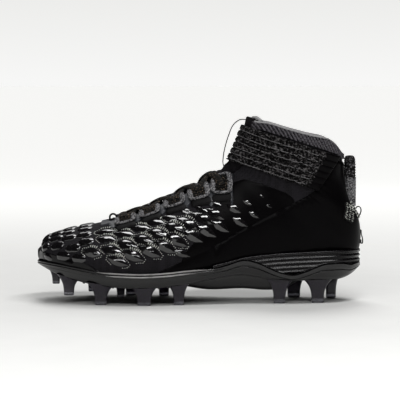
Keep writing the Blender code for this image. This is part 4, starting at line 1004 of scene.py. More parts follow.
@dataclass
class UpperShell:
    """The hollow upper: mesh shell and lining, toe film, side wing, raised scales and stitches."""

    shoe: Shoe
    wall: float = 2.0 * MM
    tuck: float = 9.0 * MM
    toe_film: float = 0.8 * MM
    wing_film: float = 0.5 * MM
    dome_rise: float = 1.45 * MM
    lozenge_rise: float = 2.2 * MM
    lozenge_lean: float = 8.0
    lozenge_peak: float = -0.22
    lozenge_ridge: float = 0.12
    lozenge_power: float = 0.62
    full_length: float = 20.0 * MM
    sunk: float = 0.25 * MM
    row_pitch: float = 11.6 * MM
    row_lean: float = 3.0 * MM
    throat_start: float = 52.0 * MM
    eyestay_reach: float = 16.0 * MM
    stitch_pitch: float = 2.0 * MM
    stitch_length: float = 3.3 * MM
    stitch_width: float = 0.85 * MM
    dot_length: float = 0.9 * MM
    ladder_rise: float = 0.95 * MM
    dot_rise: float = 0.5 * MM
    stitch_span: tuple[float, float] = (50.0 * MM, 142.0 * MM)
    sewn_height: float = 8.0 * MM
    stitch_margin: float = 1.25 * MM
    stitch_height: float = 0.45 * MM
    stitch_steps: int = 28
    top_tilt: float = 4.0
    walk_step: float = 0.25
    least_row: float = 0.45

    def build(self) -> None:
        """Build every piece of the shell."""
        form = self.shoe.form
        rim = rim_line()
        shell = Layer(form, "upper_shell", [below(side_line(COLLAR_LINE)), out_of_throat,
                                            above([(x, z - self.tuck) for x, z in rim])],
                      -self.wall, 0.0, MESH_CLOTH, inside=LINING).build()
        self.shoe.publish(shell, "upper_shell", "upper")
        low = above([(x, z - 2.0 * MM) for x, z in rim])
        film = Layer(form, "toe_film", [below(side_line(BUMPER_LINE)), low], -SINK, self.toe_film,
                     TOE_FILM, edge=0.3).build()
        self.shoe.publish(film, "quarter_film", "toe_bumper")
        wing = Layer(form, "side_wing", [within(side_outline(WING_SIDE)), low], -SINK, self.wing_film,
                     QUARTER_FILM, edge=0.6).build()
        self.shoe.publish(wing, "quarter_film")
        self.build_scales()

    def build_scales(self) -> None:
        """Build the raised scales of both sides and over the toe, and the stitches around them."""
        form = self.shoe.form
        scales, stitches = MeshBin(), MeshBin()
        for kind, x, z, length, height, tilt in SCALE_ROWS:
            spot = form.from_side(x * MM, z * MM)
            if spot is None:
                spot = form.on(Vector((x * MM, -0.02, z * MM)))[0]
            for side in SIDES:
                centre = spot if side < 0 else form.mirrored(spot)
                lean = self.lozenge_lean if kind is LOZENGE else 0.0
                self.add_scale(scales, stitches, kind, centre, side, length * MM, height * MM, tilt + lean)
        for kind, centre, side, length, height in self.over_the_toe():
            self.add_scale(scales, stitches, kind, centre, side, length, height, self.top_tilt)
        self.shoe.publish(scales.build("upper_scales", SHELL_TPU, sharp=24.0), "upper_shell")
        self.shoe.publish(stitches.build("scale_stitches", PALE_THREAD), "upper_shell")

    def over_the_toe(self) -> list[tuple[ScaleKind, Vector, float, float, float]]:
        """Return the scales that carry the columns on over the toe to the middle line."""
        form = self.shoe.form
        made = []
        for x, z, kind in (
            (8.8, 51.2, DOME), (20.8, 53.8, DOME), (31.4, 61.0, DOME), (47.8, 58.2, DOME),
            (66.8, 60.4, LOZENGE), (82.2, 65.2, LOZENGE),
        ):
            length, height = (14.5, 9.2) if kind is DOME else (18.5, 9.0)
            u, w = form.locate(form.from_side(x * MM, z * MM))
            middle = form.columns / 2
            while w < middle:
                walked = 0.0
                before = form.at(u, w)[0]
                while walked < self.row_pitch and w < middle:
                    w += self.walk_step
                    after = form.at(u, w)[0]
                    walked += (after - before).length
                    before = after
                if walked < self.row_pitch * self.least_row:
                    break
                before = form.on(before - Vector((self.row_lean * 0.5, 0.0, 0.0)))[0]
                if self.on_eyestay(before):
                    break
                made.append((kind, before, -1.0, length * MM, height * MM))
                if w < middle:
                    made.append((kind, form.mirrored(before), 1.0, length * MM, height * MM))
        return made

    def on_eyestay(self, spot: Vector) -> bool:
        """Tell whether a scale's middle would lie on the eyestay or over the throat."""
        return spot.x > self.throat_start and abs(spot.y) < throat_half(spot.x) + self.eyestay_reach

    def add_scale(self, scales: MeshBin, stitches: MeshBin, kind: ScaleKind, centre: Vector, side: float,
                  length: float, height: float, tilt: float) -> None:
        """Add one scale, and stitches around it where the mesh is sewn."""
        patch = SurfacePatch(self.shoe.form, centre, side, tilt, length, height)
        if kind is DOME:
            reach = hex_reach
            scales.grid(patch.rows(reach, self.dome, 12, 8))
        else:
            reach = lozenge_reach
            size = min(length / self.full_length, 1.0)
            scales.grid(patch.rows(reach, lambda s, t: self.roof(s, t) * size, 14, 8))
        first, last = self.stitch_span
        if first < centre.x < last and height >= self.sewn_height:
            self.sew_around(stitches, patch, reach)

    def dome(self, s: float, t: float) -> float:
        """Height of a dome over the surface."""
        if on_edge(s, t):
            return -self.sunk
        return self.dome_rise * (1.0 - 0.55 * t * t) * (1.0 - s**4) ** 0.5 * (1.0 - t**6) ** 0.5

    def roof(self, s: float, t: float) -> float:
        """Height of a ridged lozenge over the surface."""
        if on_edge(s, t):
            return -self.sunk
        ridge, peak = self.lozenge_ridge, self.lozenge_peak
        slope = (1.0 - t) / (1.0 - ridge) if t > ridge else (1.0 + t) / (1.0 + ridge)
        fall = (s + 1.0) / (1.0 + peak) if s < peak else (1.0 - s) / (1.0 - peak)
        return self.lozenge_rise * (0.18 + 0.82 * slope) * fall**self.lozenge_power

    def sew_around(self, stitches: MeshBin, patch: SurfacePatch, reach: Callable[[float], float]) -> None:
        """Add the ladder of stitches around one scale."""
        margin = self.stitch_margin
        outline = []
        for step in range(self.stitch_steps):
            turn = 2.0 * math.pi * step / self.stitch_steps
            s = math.cos(turn)
            t = math.copysign(1.0, math.sin(turn))
            outline.append((s * (patch.length / 2 + margin), t * (reach(s) * patch.height / 2 + margin)))
        spare = 0.0
        for (ax, ay), (bx, by) in zip(outline, outline[1:] + outline[:1]):
            run = math.dist((ax, ay), (bx, by))
            if run < 1e-6:
                continue
            flat = abs(bx - ax) > 3.0 * abs(by - ay)
            if flat and ay < 0:
                continue
            reach_out = self.stitch_length / 2 if flat else self.dot_length / 2
            out = Vector((by - ay, ax - bx)).normalized() * reach_out
            lift = Vector((0.0, self.stitch_length / 5 if flat else 0.0))
            place = self.stitch_pitch - spare
            while place < run:
                x, y = ax + (bx - ax) * place / run, ay + (by - ay) * place / run
                rise = self.ladder_rise if flat else self.dot_rise
                start = patch.spot(x - out.x, y - out.y + lift.y, rise)
                end = patch.spot(x + out.x, y + out.y + lift.y, rise)
                _, normal = patch.form.on((start + end) / 2)
                stitches.stitch(start, end, normal, self.stitch_width, self.stitch_height)
                place += self.stitch_pitch
            spare = run - (place - self.stitch_pitch)


def rim_line() -> list[tuple[float, float]]:
    """Return x and z of the sole's rim from toe to heel."""
    rows = smooth_rows([(row[0], row[5]) for row in SOLE_ROWS], 4)
    line = [(x * LENGTH, z * SOLE_HEIGHT) for x, z in rows]
    return [(-1.0, line[0][1])] + line + [(2.0, line[-1][1])]


@dataclass
class RearPanels:
    """The smooth heel quarter and the knitted collar with its pale edge."""

    shoe: Shoe
    film: float = 1.5 * MM
    rib_pitch: float = 2.6 * MM
    rib_rise: float = 0.95 * MM
    edge_radius: float = 1.35 * MM

    def build(self) -> None:
        """Build the quarter, the cuff and the collar's edge."""
        form = self.shoe.form
        rim = [(x, z - 2.0 * MM) for x, z in rim_line()]
        collar = below(side_line(COLLAR_LINE))
        quarter = Layer(form, "heel_quarter_film", [below(side_line(QUARTER_SEAM, 3)), collar, above(rim),
                                                    out_of_throat],
                        -SINK, self.film, QUARTER_FILM, edge=0.25).build()
        self.shoe.publish(quarter, "quarter_film", "heel_quarter")
        # The rib crowns take a paler finish, a painted highlight
        cuff = Layer(form, "collar_cuff_knit", [above(side_line(CUFF_LINE, 3)), collar, out_of_throat],
                     -SINK, self.film, COLLAR_KNIT, fine=4, first=118, relief=self.rib, edge=0.2,
                     accent=RIB_CROWN_PAINTED_HIGHLIGHT, accent_where=self.crown).build()
        self.shoe.publish(cuff, "knit", "collar_cuff")
        edge = MeshBin()
        path, normals = self.collar_path()
        edge.tube(path, self.edge_radius, 10, 1.0, normals)
        self.shoe.publish(edge.build("collar_edge", PALE_EDGE), "knit")

    def rib(self, spot: Vector) -> float:
        """Height of the cuff's slanted ribs."""
        phase = (spot.x * 0.86 + spot.z * 0.5 - abs(spot.y) * 0.2) / self.rib_pitch
        return self.rib_rise * (abs(math.sin(math.pi * phase)) - 0.5)

    def crown(self, spot: Vector) -> float:
        """Field that is positive on the crowns of the cuff's ribs, which get the painted highlight."""
        return self.rib(spot) - 0.25 * self.rib_rise

    def collar_path(self) -> tuple[list[Vector], list[Vector]]:
        """Return the points and normals of the collar's top edge, from front to front."""
        form = self.shoe.form
        test = below(side_line(COLLAR_LINE))
        half = form.columns // 2
        order = list(range(half - 1, -1, -1)) + list(range(form.columns - 1, half, -1))
        path, normals = [], []
        for w in order:
            u = crossing(form, w, test)
            if u is None:
                continue
            point, normal = form.at(u, w, -0.4 * MM)
            if out_of_throat(point) > 0:
                path.append(point)
                normals.append(normal)
        return path, normals


def crossing(form: FootForm, w: float, test: Field) -> float | None:
    """Return the ring at which a field first turns negative up one column, from the shaft's foot."""
    last = len(form.points) - 1
    start = last - 60
    before = test(form.at(start, w)[0])
    for step in range(start + 1, last + 1):
        after = test(form.at(step, w)[0])
        if before > 0 >= after:
            return step - 1 + before / (before - after)
        before = after
    return None


@dataclass
class Throat:
    """Eyestay with its lobes, tongue, webbing loops, tabs and laces."""

    shoe: Shoe
    eyestay_width: float = 13.0 * MM
    lobe: float = 6.5 * MM
    layer: float = 1.5 * MM
    tongue_lap: float = 9.0 * MM
    loop_length: float = 21.5 * MM
    loop_width: float = 18.0 * MM
    loop_drop: float = 2.2 * MM
    loop_growth: float = 1.5 * MM
    last_lift: float = 3.0 * MM
    tab_drop: float = 14.2 * MM
    end_bar: float = 5.2 * MM
    side_bar: float = 3.0 * MM
    web: float = 2.2 * MM
    frame_power: float = 0.42
    lace_width: float = 7.6 * MM
    lace_flat: float = 0.34
    lace_lift: float = 3.9 * MM
    strand_pitch: float = 3.2 * MM
    padding: float = 4.2 * MM

    def build(self) -> None:
        """Build every piece of the throat."""
        form = self.shoe.form
        lobes = Layer(form, "eyestay_film", [self.eyestay_field, out_of_throat], -SINK, self.layer,
                      EYESTAY_FILM, edge=0.3, fine=2, first=20, last=112).build()
        self.shoe.publish(lobes, "eyestay_film", "eyestay")
        start = 0.215 * LENGTH
        fields = [
            lambda p: throat_half(p.x) + self.tongue_lap - abs(p.y),
            lambda p: p.z - THROAT_FLOOR, lambda p: p.x - start, lambda p: 0.72 * LENGTH - p.x,
            below(side_line(TONGUE_LINE)),
        ]
        tongue = Layer(form, "tongue_pad", fields, -6.3 * MM, -2.3 * MM, KNIT_RIB, fine=2, edge=0.5,
                       relief=self.tongue_ribs).build()
        self.shoe.publish(tongue, "knit", "tongue")
        self.build_tongue_edge()
        self.build_loops()
        self.build_laces()

    def eyestay_field(self, p: Vector) -> float:
        """Field that is positive on the eyestay, with lobes between the loops."""
        share = p.x / LENGTH
        pitch = 0.0745
        wave = max(math.cos(2.0 * math.pi * (share - LACE_ROWS[0] - pitch / 2) / pitch), 0.0) ** 1.3
        width = self.eyestay_width + self.lobe * wave - 1.5 * MM
        nose = (share - 0.200) * LENGTH
        tail = (0.605 - share) * LENGTH
        return min(width - (abs(p.y) - throat_half(p.x)), nose, tail, p.z - THROAT_FLOOR)

    def tongue_ribs(self, spot: Vector) -> float:
        """Height of the tongue's padding between the eyestays, and of its ribs."""
        reach = max(throat_half(spot.x) - 1.0 * MM, 1.0 * MM)
        swell = self.padding * max(1.0 - (spot.y / reach) ** 2, 0.0) ** 0.5
        return swell + 0.5 * MM * math.sin(2.0 * math.pi * spot.x / (7.0 * MM))

    def build_tongue_edge(self) -> None:
        """Build the pale folded edge on top of the tongue."""
        form = self.shoe.form
        test = below(side_line(TONGUE_LINE))
        half = form.columns // 2
        path, normals = [], []
        for step in range(-16, 17):
            w = half + step
            u = crossing(form, w, test)
            if u is None:
                continue
            point, normal = form.at(u, w, -4.4 * MM)
            path.append(point)
            normals.append(normal)
        edge = MeshBin()
        edge.tube(path, 2.1 * MM, 10, 1.0, normals)
        self.shoe.publish(edge.build("tongue_edge", PALE_EDGE), "knit")

    def place(self, share: float, side: float) -> tuple[Vector, Vector, Vector]:
        """Return a loop's seat, its normal and the direction along the throat."""
        form = self.shoe.form
        x = share * LENGTH
        reach = 7.0 * MM

        def seat(at: float) -> Vector:
            """Seat point at x."""
            return form.from_top(at, side * (throat_half(at) + self.eyestay_width / 2), self.layer)[0]

        point = seat(x)
        _, normal = form.on(point)
        along = (seat(x + reach) - seat(x - reach)).normalized()
        normal = (normal - along * normal.dot(along)).normalized()
        return point, normal, along

    def build_loops(self) -> None:
        """Build the webbing loops and the tabs that hold them."""
        tabs = MeshBin()
        form = self.shoe.form
        for side, word in ((-1.0, "lateral"), (1.0, "medial")):
            for number, share in enumerate(LACE_ROWS, start=1):
                point, normal, along = self.place(share, side)
                across = normal.cross(along).normalized()
                loop = MeshBin()
                outward = across if across.y * side > 0 else -across
                drop, width = self.loop_size(number)
                self.add_frame(loop, point + outward * drop, along, across, width)
                piece = loop.build(f"webbing_loop_{word}_{number}", HEATHER_WEB, sharp=80.0)
                self.shoe.publish(piece, "webbing", f"lace_loop_{word}_{number}")
                lifted = self.last_lift if number == len(LACE_ROWS) else 0.0
                low = form.on(point + outward * (self.tab_drop - lifted))[0]
                patch = SurfacePatch(form, low, side, -8.0, 19.0 * MM, 8.0 * MM)
                tabs.grid(patch.rows(lambda s: min(1.0, 3.0 * (1.0 - abs(s)) + 0.55),
                                     self.tab_profile, 10, 8))
        self.shoe.publish(tabs.build("loop_tabs", BLACK_WEB), "webbing")

    def loop_size(self, number: int) -> tuple[float, float]:
        """Return how far a loop's middle lies below its seat, and its height over the girth."""
        growth = self.loop_growth * (number - 1)
        lifted = self.last_lift if number == len(LACE_ROWS) else 0.0
        return self.loop_drop - growth / 2 - lifted, self.loop_width + growth

    def tab_profile(self, s: float, t: float) -> float:
        """Height of a padded tab over the surface."""
        if on_edge(s, t):
            return 0.2 * MM
        return 1.2 * MM + 1.5 * MM * (1.0 - s**6) * (1.0 - t**4)

    def add_frame(self, target: MeshBin, centre: Vector, along: Vector, across: Vector, width: float) -> None:
        """Add a rounded frame of webbing that follows the shoe, with wide bars at its ends.

        Args:
            target: mesh that takes the frame.
            centre: middle of the frame.
            along: unit vector along the throat.
            across: unit vector over the girth.
            width: the frame's size over the girth.
        """
        form = self.shoe.form
        steps, sides = 72, 10
        rings = []
        for i in range(steps):
            x, y = squircle(2.0 * math.pi * i / steps, self.frame_power)
            spot = centre + along * x * (self.loop_length - self.end_bar) / 2
            spot += across * y * (width - self.side_bar) / 2
            middle, normal = form.on(spot, self.layer + 0.7 * MM)
            end_share = min(max((abs(x) - abs(y)) * 8.0 + 0.5, 0.0), 1.0)
            outward = along * math.copysign(end_share, x) + across * math.copysign(1.0 - end_share, y)
            outward = outward.normalized()
            outward = (outward - normal * outward.dot(normal)).normalized()
            reach = (self.side_bar + (self.end_bar - self.side_bar) * end_share) / 2
            ring = []
            for k in range(sides):
                turn = 2.0 * math.pi * k / sides
                rough = 0.16 * MM * noise.noise(Vector((i * 0.9, k * 1.7, share_seed(centre))))
                ring.append(middle + outward * (reach + rough) * math.cos(turn)
                            + normal * (self.web / 2 + (self.web / 2 + rough) * math.sin(turn)))
            rings.append(ring)
        target.grid(rings + [rings[0]], wrap=True)

    def build_laces(self) -> None:
        """Build the crossing laces and the flecked lace that fills each loop."""
        laces = MeshBin()
        for start in (0, 1):
            path, normals = [], []
            for i in range(len(LACE_ROWS) - 1):
                a = self.lace_spot(LACE_ROWS[i], SIDES[(i + start) % 2])
                b = self.lace_spot(LACE_ROWS[i + 1], SIDES[(i + start + 1) % 2])
                for k in range(12):
                    t = k / 12
                    hump = (0.7 if (i + start) % 2 else -0.7) * MM * math.sin(math.pi * t) ** 2
                    spot = a.lerp(b, t)
                    point, normal = self.over(spot, self.lace_lift + hump)
                    path.append(point)
                    normals.append(normal)
            point, normal = self.over(self.lace_spot(LACE_ROWS[-1], SIDES[(len(LACE_ROWS) - 1 + start) % 2]),
                                      self.lace_lift)
            path.append(point)
            normals.append(normal)
            laces.tube(path, self.lace_width / 2, 12, self.lace_flat, normals)
        bar, normals = [], []
        a, b = (self.lace_spot(LACE_ROWS[0], side) for side in SIDES)
        for k in range(13):
            point, normal = self.over(a.lerp(b, k / 12) - Vector((2.5 * MM, 0.0)), self.lace_lift)
            bar.append(point)
            normals.append(normal)
        laces.tube(bar, self.lace_width / 2, 12, self.lace_flat, normals)
        for side in SIDES:
            for number, share in enumerate(LACE_ROWS, start=1):
                point, normal, along = self.place(share, side)
                across = normal.cross(along).normalized()
                drop, width = self.loop_size(number)
                strands = round((width - 2.0 * self.side_bar) / self.strand_pitch)
                for strand in range(strands):
                    outward = across if across.y * side > 0 else -across
                    middle = point + outward * (drop + (strand - (strands - 1) / 2) * self.strand_pitch)
                    run = []
                    for k in range(13):
                        lift = self.layer + 1.5 * MM + 0.4 * MM * math.cos(k * 1.6 + strand)
                        run.append(self.shoe.form.on(middle + along * (k - 6) / 6 * 5.6 * MM, lift)[0])
                    laces.tube(run, 1.7 * MM, 8, 0.8, [normal] * 13)
        self.shoe.publish(laces.build("woven_laces", LACE_BRAID, sharp=70.0), "lace", "laces")
        ring = MeshBin()
        middle = self.shoe.form.from_top(71.5 * MM, 0.0, 2.7 * MM)[0]
        path = [middle + Vector((math.cos(math.pi * k / 12), 0.0, math.sin(math.pi * k / 12))) * 3.2 * MM
                for k in range(25)]
        ring.tube(path, 2.6 * MM, 8, 0.35, [(spot - middle).normalized() for spot in path])
        self.shoe.publish(ring.build("throat_foot_ring", BLACK_WEB), "webbing")

    def lace_spot(self, share: float, side: float) -> Vector:
        """Return the plan point at which the lace turns."""
        x = share * LENGTH
        return Vector((x, side * (throat_half(x) + self.eyestay_width / 2)))

    def over(self, spot: Vector, lift: float) -> tuple[Vector, Vector]:
        """Return a point lifted over the throat."""
        return self.shoe.form.from_top(spot.x, spot.y, lift)


def share_seed(spot: Vector) -> float:
    """Return a steady number for a place, to vary small detail."""
    return spot.x * 500.0 + spot.y * 300.0


@dataclass
class AnkleStrap:
    """The wide strap of loop pile rows, with smooth tabs at its rear end."""

    shoe: Shoe
    seat: float = 1.8 * MM
    thickness: float = 2.7 * MM
    rows: int = 6
    tab: float = 10.0 * MM
    groove: float = 1.6 * MM
    pile: float = 0.5 * MM
    line_gap: float = 1.0 * MM
    line_depth: float = 0.15 * MM
    line_lead: float = 22.0 * MM
    line_step: float = 1.6 * MM
    line_points: int = 70
    line_radius: float = 0.36 * MM
    inside: Field = field(init=False)

    def __post_init__(self) -> None:
        """Work out the field that is positive inside the strap's outline."""
        self.inside = within(side_outline(STRAP_SIDE))

    def build(self) -> None:
        """Build the strap."""
        strap = Layer(self.shoe.form, "ankle_strap_pile", [self.inside], self.seat,
                      self.seat + self.thickness, PILE_LOOP, fine=4, first=88, relief=self.relief, edge=0.55,
                      accent=QUARTER_FILM, accent_where=self.tab_field).build()
        self.shoe.publish(strap, "strap_pile", "ankle_strap")
        self.build_lines()

    def build_lines(self) -> None:
        """Build the thread line along the top edge of each row, on both sides."""
        form = self.shoe.form
        rear, front = self.corner(4), self.corner(6)
        along = (rear - front).normalized()
        down = Vector((along.y, -along.x))
        pitch = self.across(self.corner_point(2)) / self.rows
        threads = MeshBin()
        for number in range(self.rows + 1):
            for side in SIDES:
                start = front + down * (number * pitch - self.line_gap) - along * self.line_lead
                path, normals = [], []
                for k in range(self.line_points):
                    spot = start + along * k * self.line_step
                    place = Vector((spot.x, 0.0, spot.y))
                    hit = form.from_side(spot.x, spot.y, side)
                    if hit is None or self.inside(place) < 0.8 * MM or self.tab_field(place) > -1.0 * MM:
                        continue
                    point, normal = form.on(hit, self.seat + self.thickness - self.line_depth)
                    path.append(point)
                    normals.append(normal)
                if len(path) > 3:
                    threads.tube(path, self.line_radius, 6, 0.8, normals)
        self.shoe.publish(threads.build("strap_row_threads", GREY_THREAD), "strap_pile")

    @staticmethod
    def corner(index: int) -> Vector:
        """Return a corner of the strap's side outline in metres."""
        return Vector(side_outline(STRAP_SIDE)[index])

    def across(self, p: Vector) -> float:
        """Distance of a point below the strap's top edge, in side view."""
        rear, front = self.corner(4), self.corner(6)
        along = (rear - front).normalized()
        return -Vector((p.x - front.x, p.z - front.y)).dot(Vector((-along.y, along.x)))

    def from_end(self, p: Vector) -> float:
        """Distance of a point in front of the strap's rear edge, in side view."""
        low, high = self.corner(3), self.corner(4)
        along = (high - low).normalized()
        return Vector((p.x - low.x, p.z - low.y)).dot(Vector((-along.y, along.x)))

    def tab_field(self, p: Vector) -> float:
        """Field that is positive on the smooth tabs."""
        return self.tab - self.from_end(p)

    def relief(self, p: Vector) -> float:
        """Height of the rows, their grooves and the pile."""
        pitch = self.across(self.corner_point(2)) / self.rows
        share = self.across(p) / pitch
        place = share - math.floor(share)
        row = self.groove * ((1.0 - abs(2.0 * place - 1.0) ** 5) - 1.0)
        if self.tab_field(p) > 0:
            return row * 0.45 - 0.5 * MM
        loops = noise.noise(p * (1.0 / (1.15 * MM))) + 0.6 * noise.noise(p * (1.0 / (0.6 * MM)))
        return row + self.pile * loops

    def corner_point(self, index: int) -> Vector:
        """Return a corner of the side outline as a point of the middle plane."""
        spot = self.corner(index)
        return Vector((spot.x, 0.0, spot.y))


@dataclass
class HeelTrim:
    """The heel pull loop with its sleeve, and the thin ribbon loops."""

    shoe: Shoe
    span: float = 17.0 * MM
    width: float = 9.4 * MM
    thickness: float = 3.6 * MM
    top: float = 0.785 * SHAFT_HEIGHT
    low: float = 0.545 * SHAFT_HEIGHT
    sleeve_top: float = 116.0 * MM
    lean_in: float = 4.2 * MM
    foot_drop: float = 4.5 * MM
    knot_turn: float = 0.62
    knot_radius: float = 0.85 * MM
    foot_half: tuple[float, float] = (9.0 * MM, 6.0 * MM)
    patch_place: tuple[float, float] = (290.0 * MM, 82.5 * MM)
    patch_size: tuple[float, float] = (13.0 * MM, 17.0 * MM)
    zigzag_columns: tuple[float, ...] = (-4.4, -0.4, 3.6)
    zigzag_rows: int = 9
    zigzag_pitch: float = 1.75 * MM
    zigzag_lean: float = 1.6
    ribbon_width: float = 8.0 * MM
    ribbon_thickness: float = 0.9 * MM
    seat: float = 1.5 * MM

    def build(self) -> None:
        """Build the pull loop and the ribbons."""
        low_corner, high_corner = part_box("heel_pull_loop")
        x = (low_corner.x + high_corner.x) / 2 - self.shoe.shift.x - self.lean_in
        half = self.span / 2
        arch = self.top - half - self.thickness / 2
        leg = [Vector((x, -half, self.low + (arch - self.low) * k / 40)) for k in range(40)]
        arc = []
        for k in range(33):
            angle = math.pi - math.pi * k / 32
            arc.append(Vector((x, half * math.cos(angle), arch + half * math.sin(angle))))
        path = leg + arc + [Vector((p.x, -p.y, p.z)) for p in reversed(leg)]
        normals = []
        for p in path:
            out = Vector((0.0, p.y, max(p.z - arch, 0.0))).normalized()
            normals.append(out if p.z >= arch else Vector((0.0, math.copysign(1.0, p.y), 0.0)))
        radii = [self.width / 2 * (1.0 + 0.07 * math.sin(k * 1.9)) for k in range(len(path))]
        loop = MeshBin()
        loop.tube(path, radii, 16, self.thickness / self.width, normals)
        self.knots(loop, path, normals)
        self.shoe.publish(loop.build("heel_pull_webbing", HEATHER_DARK, sharp=70.0), "webbing",
                          "heel_pull_loop")
        sleeve = MeshBin()
        for side in SIDES:
            foot = self.low - self.foot_drop
            run = [Vector((x, side * half, foot + (self.sleeve_top - foot) * k / 24)) for k in range(25)]
            size = [self.width / 2 * 1.1 * (1.0 + 0.02 * math.sin(k * 2.2)) for k in range(25)]
            sleeve.tube(run, size, 16, 0.5, [Vector((0.0, side, 0.0))] * 25)
        self.shoe.publish(sleeve.build("heel_pull_sleeve", HEATHER_WEB, sharp=70.0), "webbing")
        self.build_base(half)
        self.build_ribbons()

    def knots(self, target: MeshBin, path: list[Vector], normals: list[Vector]) -> None:
        """Add the crossing yarns of the chunky knit over the top of the loop."""
        for turn in (0.0, math.pi):
            run, outs = [], []
            for k, (point, normal) in enumerate(zip(path, normals)):
                if point.z < self.sleeve_top - 2.0 * MM:
                    continue
                swing = math.sin(k * self.knot_turn + turn)
                lift = self.thickness / 2 + 0.25 * MM * math.cos(k * 2.0 * self.knot_turn)
                run.append(point + Vector((swing * self.width * 0.36, 0.0, 0.0)) + normal * lift)
                outs.append(normal)
            if len(run) > 2:
                target.tube(run, self.knot_radius, 6, 1.0, outs)

    def build_base(self, half: float) -> None:
        """Build the sewn foot of the loop with its zigzag stitches."""
        form = self.shoe.form
        stitches = MeshBin()
        base = MeshBin()
        for side in SIDES:
            hit = form.tree.ray_cast(Vector((0.6, side * half, 84.0 * MM)), Vector((-1.0, 0.0, 0.0)))[0]
            centre, normal = form.on(hit)
            across = Vector((0.0, side, 0.0))
            across = (across - normal * across.dot(normal)).normalized()
            up = across.cross(normal).normalized()
            if up.z < 0:
                up.negate()
            grid = []
            for i in range(13):
                row = []
                for j in range(11):
                    s, t = i / 6 - 1.0, j / 5 - 1.0
                    rise = self.seat + (-0.2 * MM if on_edge(s, t) else 1.6 * MM)
                    spot = centre + up * s * self.foot_half[0] + across * t * self.foot_half[1]
                    row.append(form.on(spot, rise)[0])
                grid.append(row)
            base.grid(grid)
            for k in range(13):
                s = k / 6 - 1.0
                for edge in (-1.0, 0.15, 1.0):
                    start = centre + up * s * 8.2 * MM + across * (edge * 5.2 * MM - 0.9 * MM)
                    end = start + across * 1.8 * MM + up * 1.0 * MM * (1 if k % 2 else -1)
                    a, n = form.on(start, self.seat + 1.65 * MM)
                    b, _ = form.on(end, self.seat + 1.65 * MM)
                    stitches.stitch(a, b, n, 0.55 * MM, 0.4 * MM)
        for side in SIDES:
            seat = form.from_side(*self.patch_place, side)
            patch = SurfacePatch(form, seat, side, 4.0, *self.patch_size)
            base.grid(patch.rows(lambda s: 1.0, self.patch_profile, 10, 10))
            for column in self.zigzag_columns:
                for row in range(self.zigzag_rows):
                    lean = self.zigzag_lean if row % 2 else -self.zigzag_lean
                    y = (row - self.zigzag_rows // 2) * self.zigzag_pitch
                    start = patch.spot((column - lean) * MM, y, self.seat + 1.5 * MM)
                    end = patch.spot((column + lean) * MM, y + 1.0 * MM, self.seat + 1.5 * MM)
                    stitches.stitch(start, end, form.on(start)[1], 0.45 * MM, 0.4 * MM)
        self.shoe.publish(base.build("heel_pull_base", BLACK_WEB), "webbing")
        self.shoe.publish(stitches.build("heel_pull_stitches", PALE_THREAD), "webbing")

    def patch_profile(self, s: float, t: float) -> float:
        """Height of the sewn side patch over the surface."""
        return self.seat + (-0.3 * MM if on_edge(s, t) else 1.3 * MM)

    def build_ribbons(self) -> None:
        """Build the thin ribbon loops on the heel and before the strap."""
        plans = (
            ("heel_ribbon_upper", UPPER_RIBBON, -1.0, self.seat, "heel_ribbon_upper"),
            ("heel_ribbon_lower", LOWER_RIBBON, -1.0, self.seat, "heel_ribbon_lower"),
            ("tongue_ribbon", TONGUE_RIBBON, 1.0, -2.3 * MM, "tongue_ribbon"),
        )
        for name, rows, direction, seat, node in plans:
            route = self.route(rows, direction, seat)
            normals = []
            for i in range(len(route)):
                along = tangent(route, i).normalized()
                normals.append(Vector((-along.z, 0.0, along.x)))
            ribbon = MeshBin()
            ribbon.tube(route, self.ribbon_width / 2, 10, self.ribbon_thickness / self.ribbon_width, normals)
            self.shoe.publish(ribbon.build(f"{name}_web", BLACK_WEB, sharp=70.0), "ribbon", node)

    def route(self, rows: Sequence[Row], direction: float, seat: float) -> list[Vector]:
        """Return a ribbon's route with both ends on the shoe and the rest clear of it."""
        form = self.shoe.form
        line = side_line(rows, 5)
        made = []
        for i, (x, z) in enumerate(line):
            hit = form.tree.ray_cast(Vector((x - direction * LENGTH, 0.0, z)),
                                     Vector((direction, 0.0, 0.0)))[0]
            if hit is not None:
                clear = hit.x - direction * (seat + self.ribbon_thickness * 0.7)
                if i in (0, len(line) - 1) or (x - clear) * direction > 0:
                    x = clear
            made.append(Vector((x, 0.0, z)))
        return made


